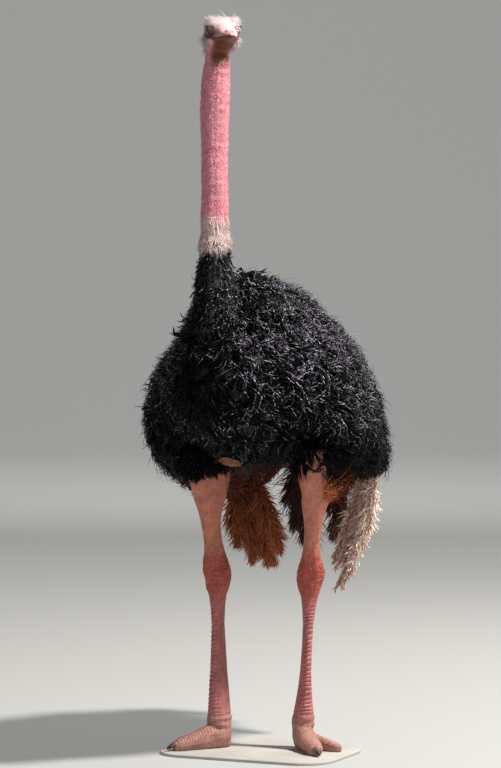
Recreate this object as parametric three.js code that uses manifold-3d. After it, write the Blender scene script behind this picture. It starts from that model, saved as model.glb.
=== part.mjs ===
// A male ostrich standing with its head high: a still, life-size model on a thin base.
// Millimetres, +Z up. The bird faces -Y and its left side is +X. The origin is on the floor,
// under the middle of the model. Heights inside the bird are measured from its soles.
// The solids reach out to the tips of the plumage; a gap parts each from its neighbours.
import * as THREE from "three";
import Module from "manifold-3d";

const wasm = await Module();
wasm.setup();

// ---- Driving dimensions ----

const GAP = 0.3; // clearance between neighbouring solids
const MIDDLE = { x: 12, y: -54 }; // puts the middle of the whole model over the origin
const BASE = { width: 596, depth: 424, corner: 110, thickness: 10, edge: 2, y: -58 };

// Trunk, from breast to rump: y, top, bottom, half width
const TRUNK = [
  [-532, 1220, 1165, 24],
  [-512, 1275, 1105, 92],
  [-470, 1335, 1045, 150],
  [-400, 1400, 985, 205],
  [-300, 1472, 935, 243],
  [-200, 1519, 905, 264],
  [-100, 1522, 886, 275],
  [0, 1508, 878, 279],
  [100, 1488, 880, 277],
  [200, 1458, 893, 267],
  [300, 1428, 922, 247],
  [400, 1386, 968, 212],
  [470, 1338, 1020, 168],
  [520, 1270, 1085, 105],
  [545, 1215, 1150, 30],
];

// Neck, from inside the breast to inside the skull: z, x, y, half width, half depth
const NECK = [
  [1130, 0, -372, 120, 120],
  [1250, 0, -392, 114, 140],
  [1345, 4, -412, 98, 146],
  [1430, 7, -418, 78, 110],
  [1490, 6, -416, 71, 95],
  [1545, 3, -411, 66, 82],
  [1600, 0, -405, 57, 66],
  [1650, 0, -402, 49, 55],
  [1700, -1, -400, 43, 47],
  [1780, -3, -396, 41, 44],
  [1900, -7, -390, 41, 44],
  [2040, -9, -384, 45, 48],
  [2120, -7, -382, 44.5, 47],
  [2180, -1, -385, 39, 43],
  [2228, 4, -388, 36, 39],
];
const NECK_ROOT = { y: -410, z: 1360, lean: 30 }; // where the neck leaves the trunk
const COLLAR = { bottom: 1597, top: 1700 }; // the ring of white hair
const NECK_HALF = 1960; // the bare neck is made in two lengths

// Head, from nape to bill tip, about a point midway between the eyes:
// forward, half width, top above, bottom below
const HEAD = [
  [-87, 16, 4, 30],
  [-78, 31, 20, 42],
  [-62, 44, 34, 56],
  [-40, 52, 42, 63],
  [-15, 54, 45, 64],
  [10, 51, 40, 53],
  [30, 43, 28, 43],
  [46, 37, 15, 40],
  [60, 33.5, 7, 39],
  [85, 28, -5, 37.5],
  [105, 20.5, -12, 35.5],
  [119, 11.5, -18, 33],
  [127, 4, -23, 30],
];
const HEAD_AT = { x: 34, y: -421, z: 2270, yaw: 36 };
const BILL_ROOT = 44; // forward of the eyes
const GAPE = { back: -28, tip: -25, tipAt: 127 }; // height of the line between the bill's halves
const EYE = { side: 31, radius: 23.5 };

// Wing with its long shaggy plumes, from shoulder to rump:
// y, x, top, lower edge on the left and on the right, half width
const WING = [
  [-405, 142, 1225, 1160, 1150, 22],
  [-350, 158, 1308, 1090, 1040, 82],
  [-260, 184, 1352, 1030, 935, 134],
  [-150, 200, 1370, 970, 862, 170],
  [-30, 205, 1366, 905, 815, 184],
  [90, 200, 1350, 860, 776, 184],
  [200, 188, 1320, 832, 748, 178],
  [300, 172, 1276, 816, 746, 165],
  [390, 152, 1212, 822, 780, 138],
  [460, 132, 1140, 858, 838, 100],
  [510, 115, 1048, 915, 908, 40],
];
// Each wing's own carriage: its side, how far it stands off the flank, where between its lower
// edge and its top it is widest, how full its upper part is, and how far its lower part swings
// outward for each unit of drop
const WINGS = {
  left: { side: 1, spread: -6, widest: 0.26, fullness: 2.5, flare: 0.12 },
  right: { side: -1, spread: 20, widest: 0.45, fullness: 2, flare: 0.2 },
};

// Leg, from the ankle into the flank: z, half width, half depth, shift to the rear
const LEG = [
  [52, 28, 34, 0],
  [70, 36, 40, 0],
  [95, 36, 41, 0],
  [120, 31, 38, 0],
  [160, 25, 36, 0],
  [200, 20, 34, 0],
  [250, 16.5, 30, 0],
  [330, 15, 26, 0],
  [400, 16, 22, 0],
  [450, 21, 24, 0],
  [490, 27, 29, 0],
  [515, 37, 37, 0],
  [545, 44, 43, 0],
  [572, 44.5, 47, 0],
  [600, 37, 42, 0],
  [625, 30, 38, 0],
  [660, 27, 33, 0],
  [700, 27.5, 33, 2],
  [740, 31, 38, 4],
  [775, 36, 52, 8],
  [805, 42, 75, 20],
  [835, 48, 118, 52],
  [870, 56, 160, 80],
  [920, 66, 182, 94],
  [975, 66, 182, 98],
];
const LEGS = {
  left: { side: 1, ankle: [118, 10], hock: [143, 15], flank: [200, -90], toeOut: 39 },
  right: { side: -1, ankle: [-140, -70], hock: [-152, -60], flank: [-160, -140], toeOut: 36 },
};
const LEVEL = { ankle: 70, hock: 561, flank: 880, straight: 900 };
const HOCK = { bottom: 492, top: 628 };

// Toes, from heel to tip: along, centre height, half width, half height above the centre
const TOE_INNER = [
  [-36, 42, 16, 14],
  [-24, 46, 28, 30],
  [0, 48, 35, 40],
  [30, 42, 33, 37],
  [60, 35, 30, 32],
  [88, 30, 30.5, 27],
  [112, 25, 27, 24],
  [135, 22, 27, 22],
  [152, 19, 23, 18],
  [166, 17, 12, 9],
];
const TOE_OUTER = [
  [8, 34, 16, 22],
  [42, 30, 20, 23],
  [78, 23, 18, 19],
  [106, 19, 18, 16],
  [128, 16, 14, 12],
  [141, 12, 6, 6],
];
const TOE_SPLAY = 44; // from the inner toe to the outer toe
const SOLE_DEPTH = 7; // how far a toe's round section reaches below its flat sole
const CLAW = [
  [146, 25, 12, 9],
  [164, 23, 12.5, 9],
  [180, 15, 10, 7.5],
  [192, 8.5, 4, 4],
];

const BREAST_PAD = { y: -292, z: 944, wide: 46, long: 52, thick: 17, tilt: 24 };

// Hanging plumes, each a curved blade: root, middle and tip, half width, half thickness
const PLUMES_RIGHT = [
  { path: [[-250, 330, 910], [-290, 372, 740], [-268, 372, 596]], wide: 58, thick: 26 },
  { path: [[-225, 350, 910], [-245, 392, 720], [-212, 385, 552]], wide: 56, thick: 24 },
  { path: [[-190, 350, 900], [-200, 400, 710], [-166, 385, 542]], wide: 54, thick: 24 },
  { path: [[-160, 330, 890], [-150, 375, 730], [-122, 365, 596]], wide: 46, thick: 20 },
];
const PLUMES_LEFT = [
  { path: [[215, 330, 920], [218, 370, 720], [108, 315, 474]], wide: 42, thick: 20 },
  { path: [[235, 300, 920], [236, 340, 740], [150, 300, 548]], wide: 38, thick: 18 },
  { path: [[190, 350, 920], [165, 385, 740], [88, 330, 565]], wide: 42, thick: 20 },
];
const TAIL = [
  { path: [[0, 440, 1200], [0, 640, 1120], [0, 655, 850]], wide: 74, thick: 42 },
  { path: [[70, 430, 1180], [130, 615, 1080], [112, 625, 815]], wide: 66, thick: 40 },
  { path: [[-70, 430, 1180], [-130, 615, 1080], [-112, 625, 815]], wide: 66, thick: 40 },
];
const UNDERTAIL = [
  { path: [[-66, 400, 1010], [-115, 520, 880], [-130, 500, 650]], wide: 62, thick: 38 },
  { path: [[-10, 380, 1000], [-40, 500, 840], [-54, 480, 606]], wide: 66, thick: 42 },
  { path: [[46, 400, 1010], [50, 520, 880], [30, 500, 636]], wide: 62, thick: 38 },
];

const COLOURS = {
  black: 0x17171b,
  dusk: 0x3c2a26,
  cinnamon: 0x6e3a22,
  cream: 0xc9a596,
  pink: 0xd98a96,
  white: 0xe9d3d0,
  shin: 0xc7868a,
  hock: 0xa4564b,
  bill: 0x73482f,
  eye: 0x120c0a,
  claw: 0x4a3a33,
  pad: 0x7d5233,
  base: 0xb9b6b0,
};

// ---- Shapes ----

const Z = new THREE.Vector3(0, 0, 1);
const point = ([x, y, z]) => new THREE.Vector3(x, y, z);
const mix = (a, b, t) => a + (b - a) * t;

// One ring round a centre: half width along `across`, heights along `up` and against it.
// A `square` above 2 fills out its corners and one under 2 draws them in, with `squareBelow` for
// the lower half, and a `lean` shears it along `across`.
function ring(station, sides, grow) {
  const { centre, across, up, wide, rise, drop = rise, square = 2, squareBelow = square, lean = 0 } = station;
  return Array.from({ length: sides }, (_, i) => {
    const angle = (2 * Math.PI * (i + 0.5)) / sides;
    const c = Math.cos(angle);
    const s = Math.sin(angle);
    const power = 2 / (s > 0 ? square : squareBelow);
    const u = Math.sign(c) * Math.abs(c) ** power * (wide + grow);
    const v = Math.sign(s) * Math.abs(s) ** power * ((s > 0 ? rise : drop) + grow);
    return centre.clone().addScaledVector(across, u + lean * v).addScaledVector(up, v);
  });
}

// A closed geometry's points and triangles as a solid, turned the right way out.
function solidFrom(points, triangles) {
  const vertProperties = new Float32Array(points.flatMap((p) => [p.x, p.y, p.z]));
  const made = (faces) => {
    const mesh = new wasm.Mesh({ numProp: 3, vertProperties, triVerts: new Uint32Array(faces.flat()) });
    return new wasm.Manifold(mesh);
  };
  const solid = made(triangles);
  return solid.volume() > 0 ? solid : made(triangles.map(([a, b, c]) => [a, c, b]));
}

// A closed solid through a row of rings, with its two ends capped.
function loft(rings) {
  const sides = rings[0].length;
  const points = rings.flat();
  const triangles = [];
  for (let j = 0; j + 1 < rings.length; j++) {
    for (let i = 0; i < sides; i++) {
      const a = j * sides + i;
      const b = j * sides + ((i + 1) % sides);
      triangles.push([a, b, b + sides], [a, b + sides, a + sides]);
    }
  }
  const cap = (start, backwards) => {
    const middle = new THREE.Vector3();
    for (let i = 0; i < sides; i++) middle.addScaledVector(points[start + i], 1 / sides);
    const hub = points.push(middle) - 1;
    for (let i = 0; i < sides; i++) {
      const a = start + i;
      const b = start + ((i + 1) % sides);
      triangles.push(backwards ? [hub, b, a] : [hub, a, b]);
    }
  };
  cap(0, true);
  cap((rings.length - 1) * sides, false);
  return solidFrom(points, triangles);
}

// A loft through stations, each the description of one ring. Growing it also moves its ends out.
function body(stations, sides, grow = 0) {
  const ends = [0, stations.length - 1];
  const inner = [1, stations.length - 2];
  const moved = stations.map((s) => ({ ...s, centre: s.centre.clone() }));
  ends.forEach((end, k) => {
    const out = stations[end].centre.clone().sub(stations[inner[k]].centre).normalize();
    moved[end].centre.addScaledVector(out, grow);
  });
  return loft(moved.map((s) => ring(s, sides, grow)));
}

// A table with smooth values filled in between its rows, `steps` rows for each one given.
function refine(rows, steps) {
  const curve = (a, b, c, d, t) => {
    const slope = [(c - a) / 2, (d - b) / 2];
    const rest = c - b;
    return (
      b + t * slope[0] + t * t * (3 * rest - 2 * slope[0] - slope[1]) +
      t * t * t * (slope[0] + slope[1] - 2 * rest)
    );
  };
  const filled = [];
  for (let i = 0; i + 1 < rows.length; i++) {
    const [a, b, c, d] = [i - 1, i, i + 1, i + 2].map((k) => rows[Math.min(Math.max(k, 0), rows.length - 1)]);
    for (let k = 0; k < steps; k++) filled.push(b.map((_, j) => curve(a[j], b[j], c[j], d[j], k / steps)));
  }
  filled.push(rows.at(-1));
  return filled;
}

const join = (solids) => solids.reduce((whole, solid) => whole.add(solid));
const cutBy = (solid, others) => others.reduce((left, other) => left.subtract(other), solid);

// The largest of the pieces that a cut leaves.
function largest(solid) {
  return solid.decompose().reduce((a, b) => (b.volume() > a.volume() ? b : a));
}

// The part of a solid on the far side of a plane, half a gap clear of it.
function beyond(solid, normal, at) {
  const unit = normal.clone().normalize();
  return solid.trimByPlane(unit.toArray(), unit.dot(at) + GAP / 2);
}

const betweenLevels = (solid, low, high) =>
  beyond(beyond(solid, Z, new THREE.Vector3(0, 0, low)), Z.clone().negate(), new THREE.Vector3(0, 0, high));

// ---- Trunk and neck ----

function trunkWith(grow) {
  const stations = refine(TRUNK, 2).map(([y, top, bottom, wide]) => {
    const middle = mix(bottom, top, 0.48);
    return {
      centre: new THREE.Vector3(0, y, middle),
      across: new THREE.Vector3(1, 0, 0),
      up: Z,
      wide,
      rise: top - middle,
      drop: middle - bottom,
      square: 1.78,
      squareBelow: 2.1,
    };
  });
  return body(stations, 20, grow);
}

function neckWith(grow) {
  const stations = NECK.map(([z, x, y, wide, deep]) => ({
    centre: new THREE.Vector3(x, y, z),
    across: new THREE.Vector3(1, 0, 0),
    up: new THREE.Vector3(0, -1, 0),
    wide,
    rise: deep,
  }));
  return body(stations, 16, grow);
}

// ---- Head ----

const yaw = THREE.MathUtils.degToRad(HEAD_AT.yaw);
const FORWARD = new THREE.Vector3(Math.sin(yaw), -Math.cos(yaw), 0);
const LEFTWARD = new THREE.Vector3(Math.cos(yaw), Math.sin(yaw), 0);
const BETWEEN_EYES = new THREE.Vector3(HEAD_AT.x, HEAD_AT.y, HEAD_AT.z);

const onHead = (forward, side, height) =>
  BETWEEN_EYES.clone().addScaledVector(FORWARD, forward).addScaledVector(LEFTWARD, side).addScaledVector(Z, height);

function skullWith(grow) {
  const stations = HEAD.map(([forward, wide, top, below]) => {
    const middle = (top - below) / 2;
    return {
      centre: onHead(forward, 0, middle),
      across: LEFTWARD,
      up: Z,
      wide,
      rise: top - middle,
      square: 2.2,
    };
  });
  return body(stations, 20, grow);
}

function eyeball(side, grow) {
  const rows = 8;
  const stations = Array.from({ length: rows }, (_, i) => {
    const angle = (Math.PI * (i + 0.4)) / (rows - 0.2);
    return {
      centre: onHead(-EYE.radius * Math.cos(angle), side * EYE.side, 0),
      across: LEFTWARD,
      up: Z,
      wide: EYE.radius * Math.sin(angle),
      rise: EYE.radius * Math.sin(angle),
    };
  });
  return body(stations, 10, grow);
}

// ---- Wings, plumes and tail ----

function wingWith({ side, spread, widest, fullness, flare }, grow) {
  const stations = WING.map(([y, x, top, lowLeft, lowRight, wide]) => {
    const bottom = side > 0 ? lowLeft : lowRight;
    const middle = mix(bottom, top, widest);
    return {
      centre: new THREE.Vector3(side * (x + spread), y, middle),
      across: new THREE.Vector3(side, 0, 0),
      up: Z,
      wide,
      rise: top - middle,
      drop: middle - bottom,
      square: fullness,
      squareBelow: 2,
      lean: -flare,
    };
  });
  return body(stations, 18, grow);
}

// One plume: a curved blade, broadest past its middle, with a rounded tip.
function plume({ path, wide, thick }, grow) {
  const curve = new THREE.QuadraticBezierCurve3(...path.map(point));
  const lengths = [0, 0.25, 0.5, 0.75, 0.92, 1];
  const shape = [0.75, 0.95, 1, 0.9, 0.55, 0.16];
  const stations = lengths.map((t, i) => {
    const along = curve.getTangent(t);
    const outward = new THREE.Vector3(0, 1, 0).cross(along).normalize();
    return {
      centre: curve.getPoint(t),
      across: outward,
      up: outward.clone().cross(along).normalize(),
      wide: wide * shape[i],
      rise: thick * shape[i],
    };
  });
  return body(stations, 8, grow);
}

const plumeTuft = (plumes, grow) => join(plumes.map((p) => plume(p, grow)));

// ---- Legs and feet ----

// The middle of a leg at a height: straight from ankle to hock, and from hock up into the flank.
function legAxis({ ankle, hock, flank }, z) {
  const [from, to, low, high] =
    z < LEVEL.hock ? [ankle, hock, LEVEL.ankle, LEVEL.hock] : [hock, flank, LEVEL.hock, LEVEL.flank];
  const t = (z - low) / (high - low);
  return new THREE.Vector3(mix(from[0], to[0], t), mix(from[1], to[1], t), z);
}

function legWith(leg, grow) {
  const stations = LEG.map(([z, wide, deep, back]) => {
    const straight = THREE.MathUtils.smoothstep(z, LEVEL.hock - 60, LEVEL.straight);
    const turn = THREE.MathUtils.degToRad(leg.side * leg.toeOut * (1 - straight));
    const centre = legAxis(leg, z);
    centre.y += back;
    return {
      centre,
      across: new THREE.Vector3(Math.cos(turn), Math.sin(turn), 0),
      up: new THREE.Vector3(Math.sin(turn), -Math.cos(turn), 0),
      wide,
      rise: deep,
    };
  });
  return body(stations, 12, grow);
}

// A toe or claw: sections across the line that it points along, flat where they meet the base.
function toeWith(table, leg, splay, grow, sole = true) {
  const turn = THREE.MathUtils.degToRad(leg.side * (leg.toeOut + splay));
  const along = new THREE.Vector3(Math.sin(turn), -Math.cos(turn), 0);
  const across = new THREE.Vector3(Math.cos(turn), Math.sin(turn), 0);
  const ankle = new THREE.Vector3(...leg.ankle, 0);
  const stations = table.map(([length, height, wide, rise]) => ({
    centre: ankle.clone().addScaledVector(along, length).setZ(height),
    across,
    up: Z,
    wide,
    rise,
    drop: sole ? height + SOLE_DEPTH : rise,
  }));
  return body(stations, 12, grow).trimByPlane([0, 0, 1], 0);
}

// ---- Breast pad and base ----

function breastPad() {
  const { y, z, wide, long, thick, tilt } = BREAST_PAD;
  const lean = THREE.MathUtils.degToRad(tilt);
  const along = new THREE.Vector3(0, Math.cos(lean), -Math.sin(lean));
  const up = new THREE.Vector3(0, Math.sin(lean), Math.cos(lean));
  const rows = 9;
  const stations = Array.from({ length: rows }, (_, i) => {
    const angle = (Math.PI * (i + 0.4)) / (rows - 0.2);
    return {
      centre: new THREE.Vector3(0, y, z).addScaledVector(along, -long * Math.cos(angle)),
      across: new THREE.Vector3(1, 0, 0),
      up,
      wide: wide * Math.sin(angle),
      rise: thick * Math.sin(angle),
    };
  });
  return body(stations, 14);
}

function standBase() {
  const halfWidth = BASE.width / 2 - BASE.edge;
  const halfDepth = BASE.depth / 2 - BASE.edge;
  const radius = BASE.corner - BASE.edge;
  const outline = new THREE.Shape();
  outline.absarc(halfWidth - radius, halfDepth - radius, radius, 0, Math.PI / 2);
  outline.absarc(radius - halfWidth, halfDepth - radius, radius, Math.PI / 2, Math.PI);
  outline.absarc(radius - halfWidth, radius - halfDepth, radius, Math.PI, 1.5 * Math.PI);
  outline.absarc(halfWidth - radius, radius - halfDepth, radius, 1.5 * Math.PI, 2 * Math.PI);
  outline.closePath();
  const plate = new THREE.ExtrudeGeometry(outline, {
    depth: BASE.thickness - 2 * BASE.edge,
    bevelThickness: BASE.edge,
    bevelSize: BASE.edge,
    bevelSegments: 1,
    curveSegments: 5,
  });
  return plate.translate(0, 0, BASE.edge);
}

// ---- Assembly ----

const ostrich = new THREE.Group();
const bird = new THREE.Group();
bird.position.set(MIDDLE.x, MIDDLE.y, BASE.thickness + GAP);
ostrich.add(bird);

function addMesh(group, name, geometry, colour, roughness) {
  const mesh = new THREE.Mesh(
    geometry,
    new THREE.MeshStandardMaterial({ color: COLOURS[colour], roughness, metalness: 0 }),
  );
  mesh.name = name;
  group.add(mesh);
  return mesh;
}

function addPart(name, solid, colour, roughness = 0.8) {
  const { vertProperties, triVerts } = largest(solid).getMesh();
  const geometry = new THREE.BufferGeometry();
  geometry.setAttribute("position", new THREE.BufferAttribute(vertProperties, 3));
  geometry.setIndex(new THREE.BufferAttribute(triVerts, 1));
  geometry.computeVertexNormals();
  addMesh(bird, name, geometry, colour, roughness);
}

// Each of these is used to clear room in its neighbours.
const trunkRoom = join([trunkWith(GAP), neckWith(GAP)]);
const wingRoom = join([wingWith(WINGS.left, GAP), wingWith(WINGS.right, GAP)]);
const legRoom = join([legWith(LEGS.left, GAP), legWith(LEGS.right, GAP)]);
const plumeRoom = join([plumeTuft(PLUMES_LEFT, GAP), plumeTuft(PLUMES_RIGHT, GAP)]);

// Trunk and neck are one smooth form, parted by thin cuts.
const torso = join([trunkWith(0), neckWith(0)]);
const rootAngle = THREE.MathUtils.degToRad(NECK_ROOT.lean);
const rootUp = new THREE.Vector3(0, -Math.sin(rootAngle), Math.cos(rootAngle));
const rootAt = new THREE.Vector3(0, NECK_ROOT.y, NECK_ROOT.z);
const collarAt = new THREE.Vector3(0, 0, COLLAR.bottom);
addPart("trunk", beyond(torso, rootUp.clone().negate(), rootAt), "black");
addPart("neck_base", beyond(beyond(torso, rootUp, rootAt), Z.clone().negate(), collarAt), "black");
addPart("neck_collar", betweenLevels(torso, COLLAR.bottom, COLLAR.top), "white");
addPart("neck_lower", betweenLevels(torso, COLLAR.top, NECK_HALF), "pink", 0.6);
addPart("neck_upper", cutBy(betweenLevels(torso, NECK_HALF, HEAD_AT.z), [skullWith(GAP)]), "pink", 0.6);

const skull = skullWith(0);
const billRoot = onHead(BILL_ROOT, 0, 0);
const bill = beyond(skull, FORWARD, billRoot);
const gapeSlope = (GAPE.tip - GAPE.back) / (GAPE.tipAt - BILL_ROOT);
const gapeUp = Z.clone().addScaledVector(FORWARD, -gapeSlope);
const gapeAt = onHead(BILL_ROOT, 0, GAPE.back);
const eyeRoom = [eyeball(1, GAP), eyeball(-1, GAP)];
addPart("head", cutBy(beyond(skull, FORWARD.clone().negate(), billRoot), eyeRoom), "pink", 0.6);
addPart("bill_upper", beyond(bill, gapeUp, gapeAt), "bill", 0.4);
addPart("bill_lower", beyond(bill, gapeUp.clone().negate(), gapeAt), "bill", 0.4);
addPart("eye_left", eyeball(1, 0), "eye", 0.1);
addPart("eye_right", eyeball(-1, 0), "eye", 0.1);

addPart("breast_pad", cutBy(breastPad(), [trunkRoom]), "pad", 0.7);
for (const [name, wing] of Object.entries(WINGS)) {
  addPart(`wing_${name}`, cutBy(wingWith(wing, 0), [trunkRoom]), "black");
}
const plumesClear = [trunkRoom, wingRoom, legRoom];
addPart("plumes_left", cutBy(plumeTuft(PLUMES_LEFT, 0), plumesClear), "cream");
addPart("plumes_right", cutBy(plumeTuft(PLUMES_RIGHT, 0), plumesClear), "cinnamon");
addPart("tail", cutBy(plumeTuft(TAIL, 0), plumesClear), "dusk");
const undertailClear = [...plumesClear, plumeRoom, plumeTuft(TAIL, GAP)];
addPart("undertail", cutBy(plumeTuft(UNDERTAIL, 0), undertailClear), "dusk");

for (const [name, leg] of Object.entries(LEGS)) {
  const inner = (grow) => toeWith(TOE_INNER, leg, 0, grow);
  const outer = (grow) => toeWith(TOE_OUTER, leg, TOE_SPLAY, grow);
  const whole = legWith(leg, 0);
  const drumstick = beyond(whole, Z, new THREE.Vector3(0, 0, HOCK.top));
  const shank = betweenLevels(whole, 0, HOCK.bottom);
  addPart(`drumstick_${name}`, cutBy(drumstick, [trunkRoom, wingRoom]), "shin", 0.6);
  addPart(`hock_${name}`, betweenLevels(whole, HOCK.bottom, HOCK.top), "hock", 0.6);
  addPart(`shank_${name}`, cutBy(shank, [inner(GAP), outer(GAP)]), "shin", 0.6);
  addPart(`toe_inner_${name}`, inner(0), "shin", 0.6);
  addPart(`toe_outer_${name}`, cutBy(outer(0), [inner(GAP)]), "shin", 0.6);
  addPart(`claw_${name}`, cutBy(toeWith(CLAW, leg, 0, 0, false), [inner(GAP)]), "claw", 0.3);
}

const base = addMesh(ostrich, "stand_base", standBase(), "base", 0.7);
base.position.set(MIDDLE.x, MIDDLE.y + BASE.y, 0);

export default ostrich;
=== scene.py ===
# %% [markdown]
# # A male ostrich, life size, standing on a thin base
#
# The solid model gives every size and place. This lesson puts the looks on it: one skin, a black
# coat of loose plumes, hanging wing and tail plumes, a bill, eyes, claws and a callus.
# Metres, +Z up. The bird faces -Y and its left side is +X.

# %% Load the solid model as a fixed frame
import math

import bpy
import numpy as np
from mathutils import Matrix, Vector
from mathutils.bvhtree import BVHTree
from mathutils.kdtree import KDTree


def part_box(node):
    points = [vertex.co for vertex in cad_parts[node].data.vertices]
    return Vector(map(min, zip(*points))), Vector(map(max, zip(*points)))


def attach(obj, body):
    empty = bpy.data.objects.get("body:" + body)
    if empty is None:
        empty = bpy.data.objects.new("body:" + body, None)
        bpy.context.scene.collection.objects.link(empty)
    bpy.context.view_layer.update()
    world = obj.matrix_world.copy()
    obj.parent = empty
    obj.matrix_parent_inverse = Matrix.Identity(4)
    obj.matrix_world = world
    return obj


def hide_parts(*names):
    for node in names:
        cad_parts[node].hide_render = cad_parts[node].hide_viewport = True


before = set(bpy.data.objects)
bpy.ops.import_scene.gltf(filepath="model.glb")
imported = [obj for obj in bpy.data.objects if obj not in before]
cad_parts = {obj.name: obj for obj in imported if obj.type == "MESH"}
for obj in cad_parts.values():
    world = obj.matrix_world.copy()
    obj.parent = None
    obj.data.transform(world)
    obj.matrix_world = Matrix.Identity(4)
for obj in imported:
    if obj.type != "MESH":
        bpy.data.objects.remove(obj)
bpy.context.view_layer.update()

# %% [markdown]
# ## Camera
#
# The bird is seen from a little to its left, from the height of a person's eyes, through a long
# lens that keeps its proportions true. The camera only needs a place, an aim and a lens.

# %% Camera
EYE_POINT = Vector((3.876, -8.773, 1.4603))
AIM_POINT = Vector((-0.0246, -0.1103, 1.1833))
LENS_MM = 138.94
FARTHEST = 60
lens = bpy.data.cameras.new("long_lens")
lens.lens = LENS_MM
lens.clip_end = FARTHEST
camera = bpy.data.objects.new("camera", lens)
camera.location = EYE_POINT
camera.rotation_euler = (AIM_POINT - EYE_POINT).to_track_quat("-Z", "Y").to_euler()
bpy.context.scene.collection.objects.link(camera)
bpy.context.scene.camera = camera
print("camera stands", round((AIM_POINT - EYE_POINT).length, 2), "m away")

# %% [markdown]
# ## Light
#
# A studio with one bright lamp high on the right, like the afternoon sun, a weak wide lamp on the
# left to open up the shadows, a small one behind for the edges, and one for the wall at the back.
# Standard colour keeps the black of the plumes black and the pink of the neck pink. The lamps are
# placed by how far right of the bird, how far towards the viewer and how high they hang.

# %% Lamps
VIEW_TURN = math.radians(24)
TOWARD = Vector((math.sin(VIEW_TURN), -math.cos(VIEW_TURN), 0))
RIGHT = Vector((math.cos(VIEW_TURN), math.sin(VIEW_TURN), 0))
TO_RIGHT = np.array(RIGHT)
MIDDLE = Vector((0, 0, 1.3))
WALL_SPOT = -TOWARD * 24 + Vector((0, 0, 6.0))
ROOM_TINT, ROOM_LIGHT = (0.93, 0.96, 1.0, 1), 0.17


def lamp(name, right, toward, up, size, watts, tint, aim):
    data = bpy.data.lights.new(name, "AREA")
    data.shape = "DISK"
    data.size = size
    data.energy = watts
    data.color = tint
    made = bpy.data.objects.new(name, data)
    made.location = RIGHT * right + TOWARD * toward + Vector((0, 0, up))
    made.rotation_euler = (aim - made.location).to_track_quat("-Z", "Y").to_euler()
    bpy.context.scene.collection.objects.link(made)


lamp("key_lamp", 3.9, 1.5, 7.4, 0.8, 1330, (1.0, 0.97, 0.92), MIDDLE)
lamp("fill_lamp", -3.0, 5.0, 2.4, 3.5, 30, (0.9, 0.95, 1.0), MIDDLE)
lamp("edge_lamp", 2.2, -3.6, 3.6, 1.5, 60, (1.0, 0.98, 0.95), MIDDLE)
lamp("backdrop_lamp", 0.0, -9.0, 7.0, 5.0, 700, (1.0, 1.0, 1.0), WALL_SPOT)
room = bpy.data.worlds.new("room")
room.use_nodes = True
room.node_tree.nodes["Background"].inputs["Color"].default_value = ROOM_TINT
room.node_tree.nodes["Background"].inputs["Strength"].default_value = ROOM_LIGHT
bpy.context.scene.world = room
bpy.context.scene.view_settings.view_transform = "Standard"

# %% [markdown]
# ## Small helpers
#
# Meshes here are built from NumPy arrays, which is fast for hundreds of thousands of points.
# A colour is given as a hex code, as on a paint chart, and turned into the linear light values
# that the renderer works in.


# %% Colours
def chip(code):
    """A paint-chart colour as linear red, green and blue."""
    value = np.array([int(code[i : i + 2], 16) / 255 for i in (0, 2, 4)])
    return np.where(value <= 0.04045, value / 12.92, ((value + 0.055) / 1.055) ** 2.4)


def soft_step(value, low, high):
    """0 below low, 1 above high, and a smooth ramp between."""
    t = np.clip((value - low) / (high - low), 0, 1)
    return t * t * (3 - 2 * t)


def blend_tones(a, b, share):
    """Colours going from a to b by each share. a and b are one colour or one for each share."""
    share = np.asarray(share)[..., None]
    return np.asarray(a) * (1 - share) + np.asarray(b) * share


# %% Meshes
def mesh_from(name, points, faces):
    """A mesh from an array of points and an array of faces with the same number of corners."""
    mesh = bpy.data.meshes.new(name)
    mesh.vertices.add(len(points))
    mesh.vertices.foreach_set("co", np.ascontiguousarray(points, np.float32).ravel())
    mesh.loops.add(faces.size)
    mesh.loops.foreach_set("vertex_index", np.ascontiguousarray(faces, np.int32).ravel())
    mesh.polygons.add(len(faces))
    mesh.polygons.foreach_set("loop_start", np.arange(0, faces.size, faces.shape[1], dtype=np.int32))
    mesh.update(calc_edges=True)
    mesh.polygons.foreach_set("use_smooth", np.full(len(faces), True))
    return mesh


def tube_faces(rings, sides):
    """The triangles between rings of points that follow each other along a tube."""
    faces = []
    for k in range(rings - 1):
        for i in range(sides):
            a, b = k * sides + i, k * sides + (i + 1) % sides
            faces += [(a, b, b + sides), (a, b + sides, a + sides)]
    return faces


def add_object(name, mesh):
    made = bpy.data.objects.new(name, mesh)
    bpy.context.scene.collection.objects.link(made)
    return made


def points_of(mesh):
    points = np.zeros(len(mesh.vertices) * 3, np.float32)
    mesh.vertices.foreach_get("co", points)
    return points.reshape(-1, 3).astype(float)


def normals_of(mesh):
    normals = np.zeros(len(mesh.vertices) * 3, np.float32)
    mesh.vertices.foreach_get("normal", normals)
    return normals.reshape(-1, 3).astype(float)


def corners_of(mesh):
    """The three corners of every triangle."""
    mesh.calc_loop_triangles()
    corners = np.zeros(len(mesh.loop_triangles) * 3, np.int32)
    mesh.loop_triangles.foreach_get("vertices", corners)
    return corners.reshape(-1, 3)


def set_points(mesh, points):
    mesh.vertices.foreach_set("co", np.ascontiguousarray(points, np.float32).ravel())
    mesh.update()


# %% Painting and finishing a piece
def paint(mesh, colours):
    """Gives each point of a mesh its colour, in an attribute named tint."""
    layer = mesh.color_attributes.new("tint", "FLOAT_COLOR", "POINT")
    filled = np.ones((len(mesh.vertices), 4), np.float32)
    filled[:, :3] = colours
    layer.data.foreach_set("color", filled.ravel())


def finished(name, piece, material, replaced=()):
    """Gives a piece its material, its body and the solids that it stands for."""
    piece.data.materials.clear()
    piece.data.materials.append(material)
    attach(piece, "root")
    if replaced:
        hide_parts(*replaced)
    print(name, len(corners_of(piece.data)), "triangles")


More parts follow.
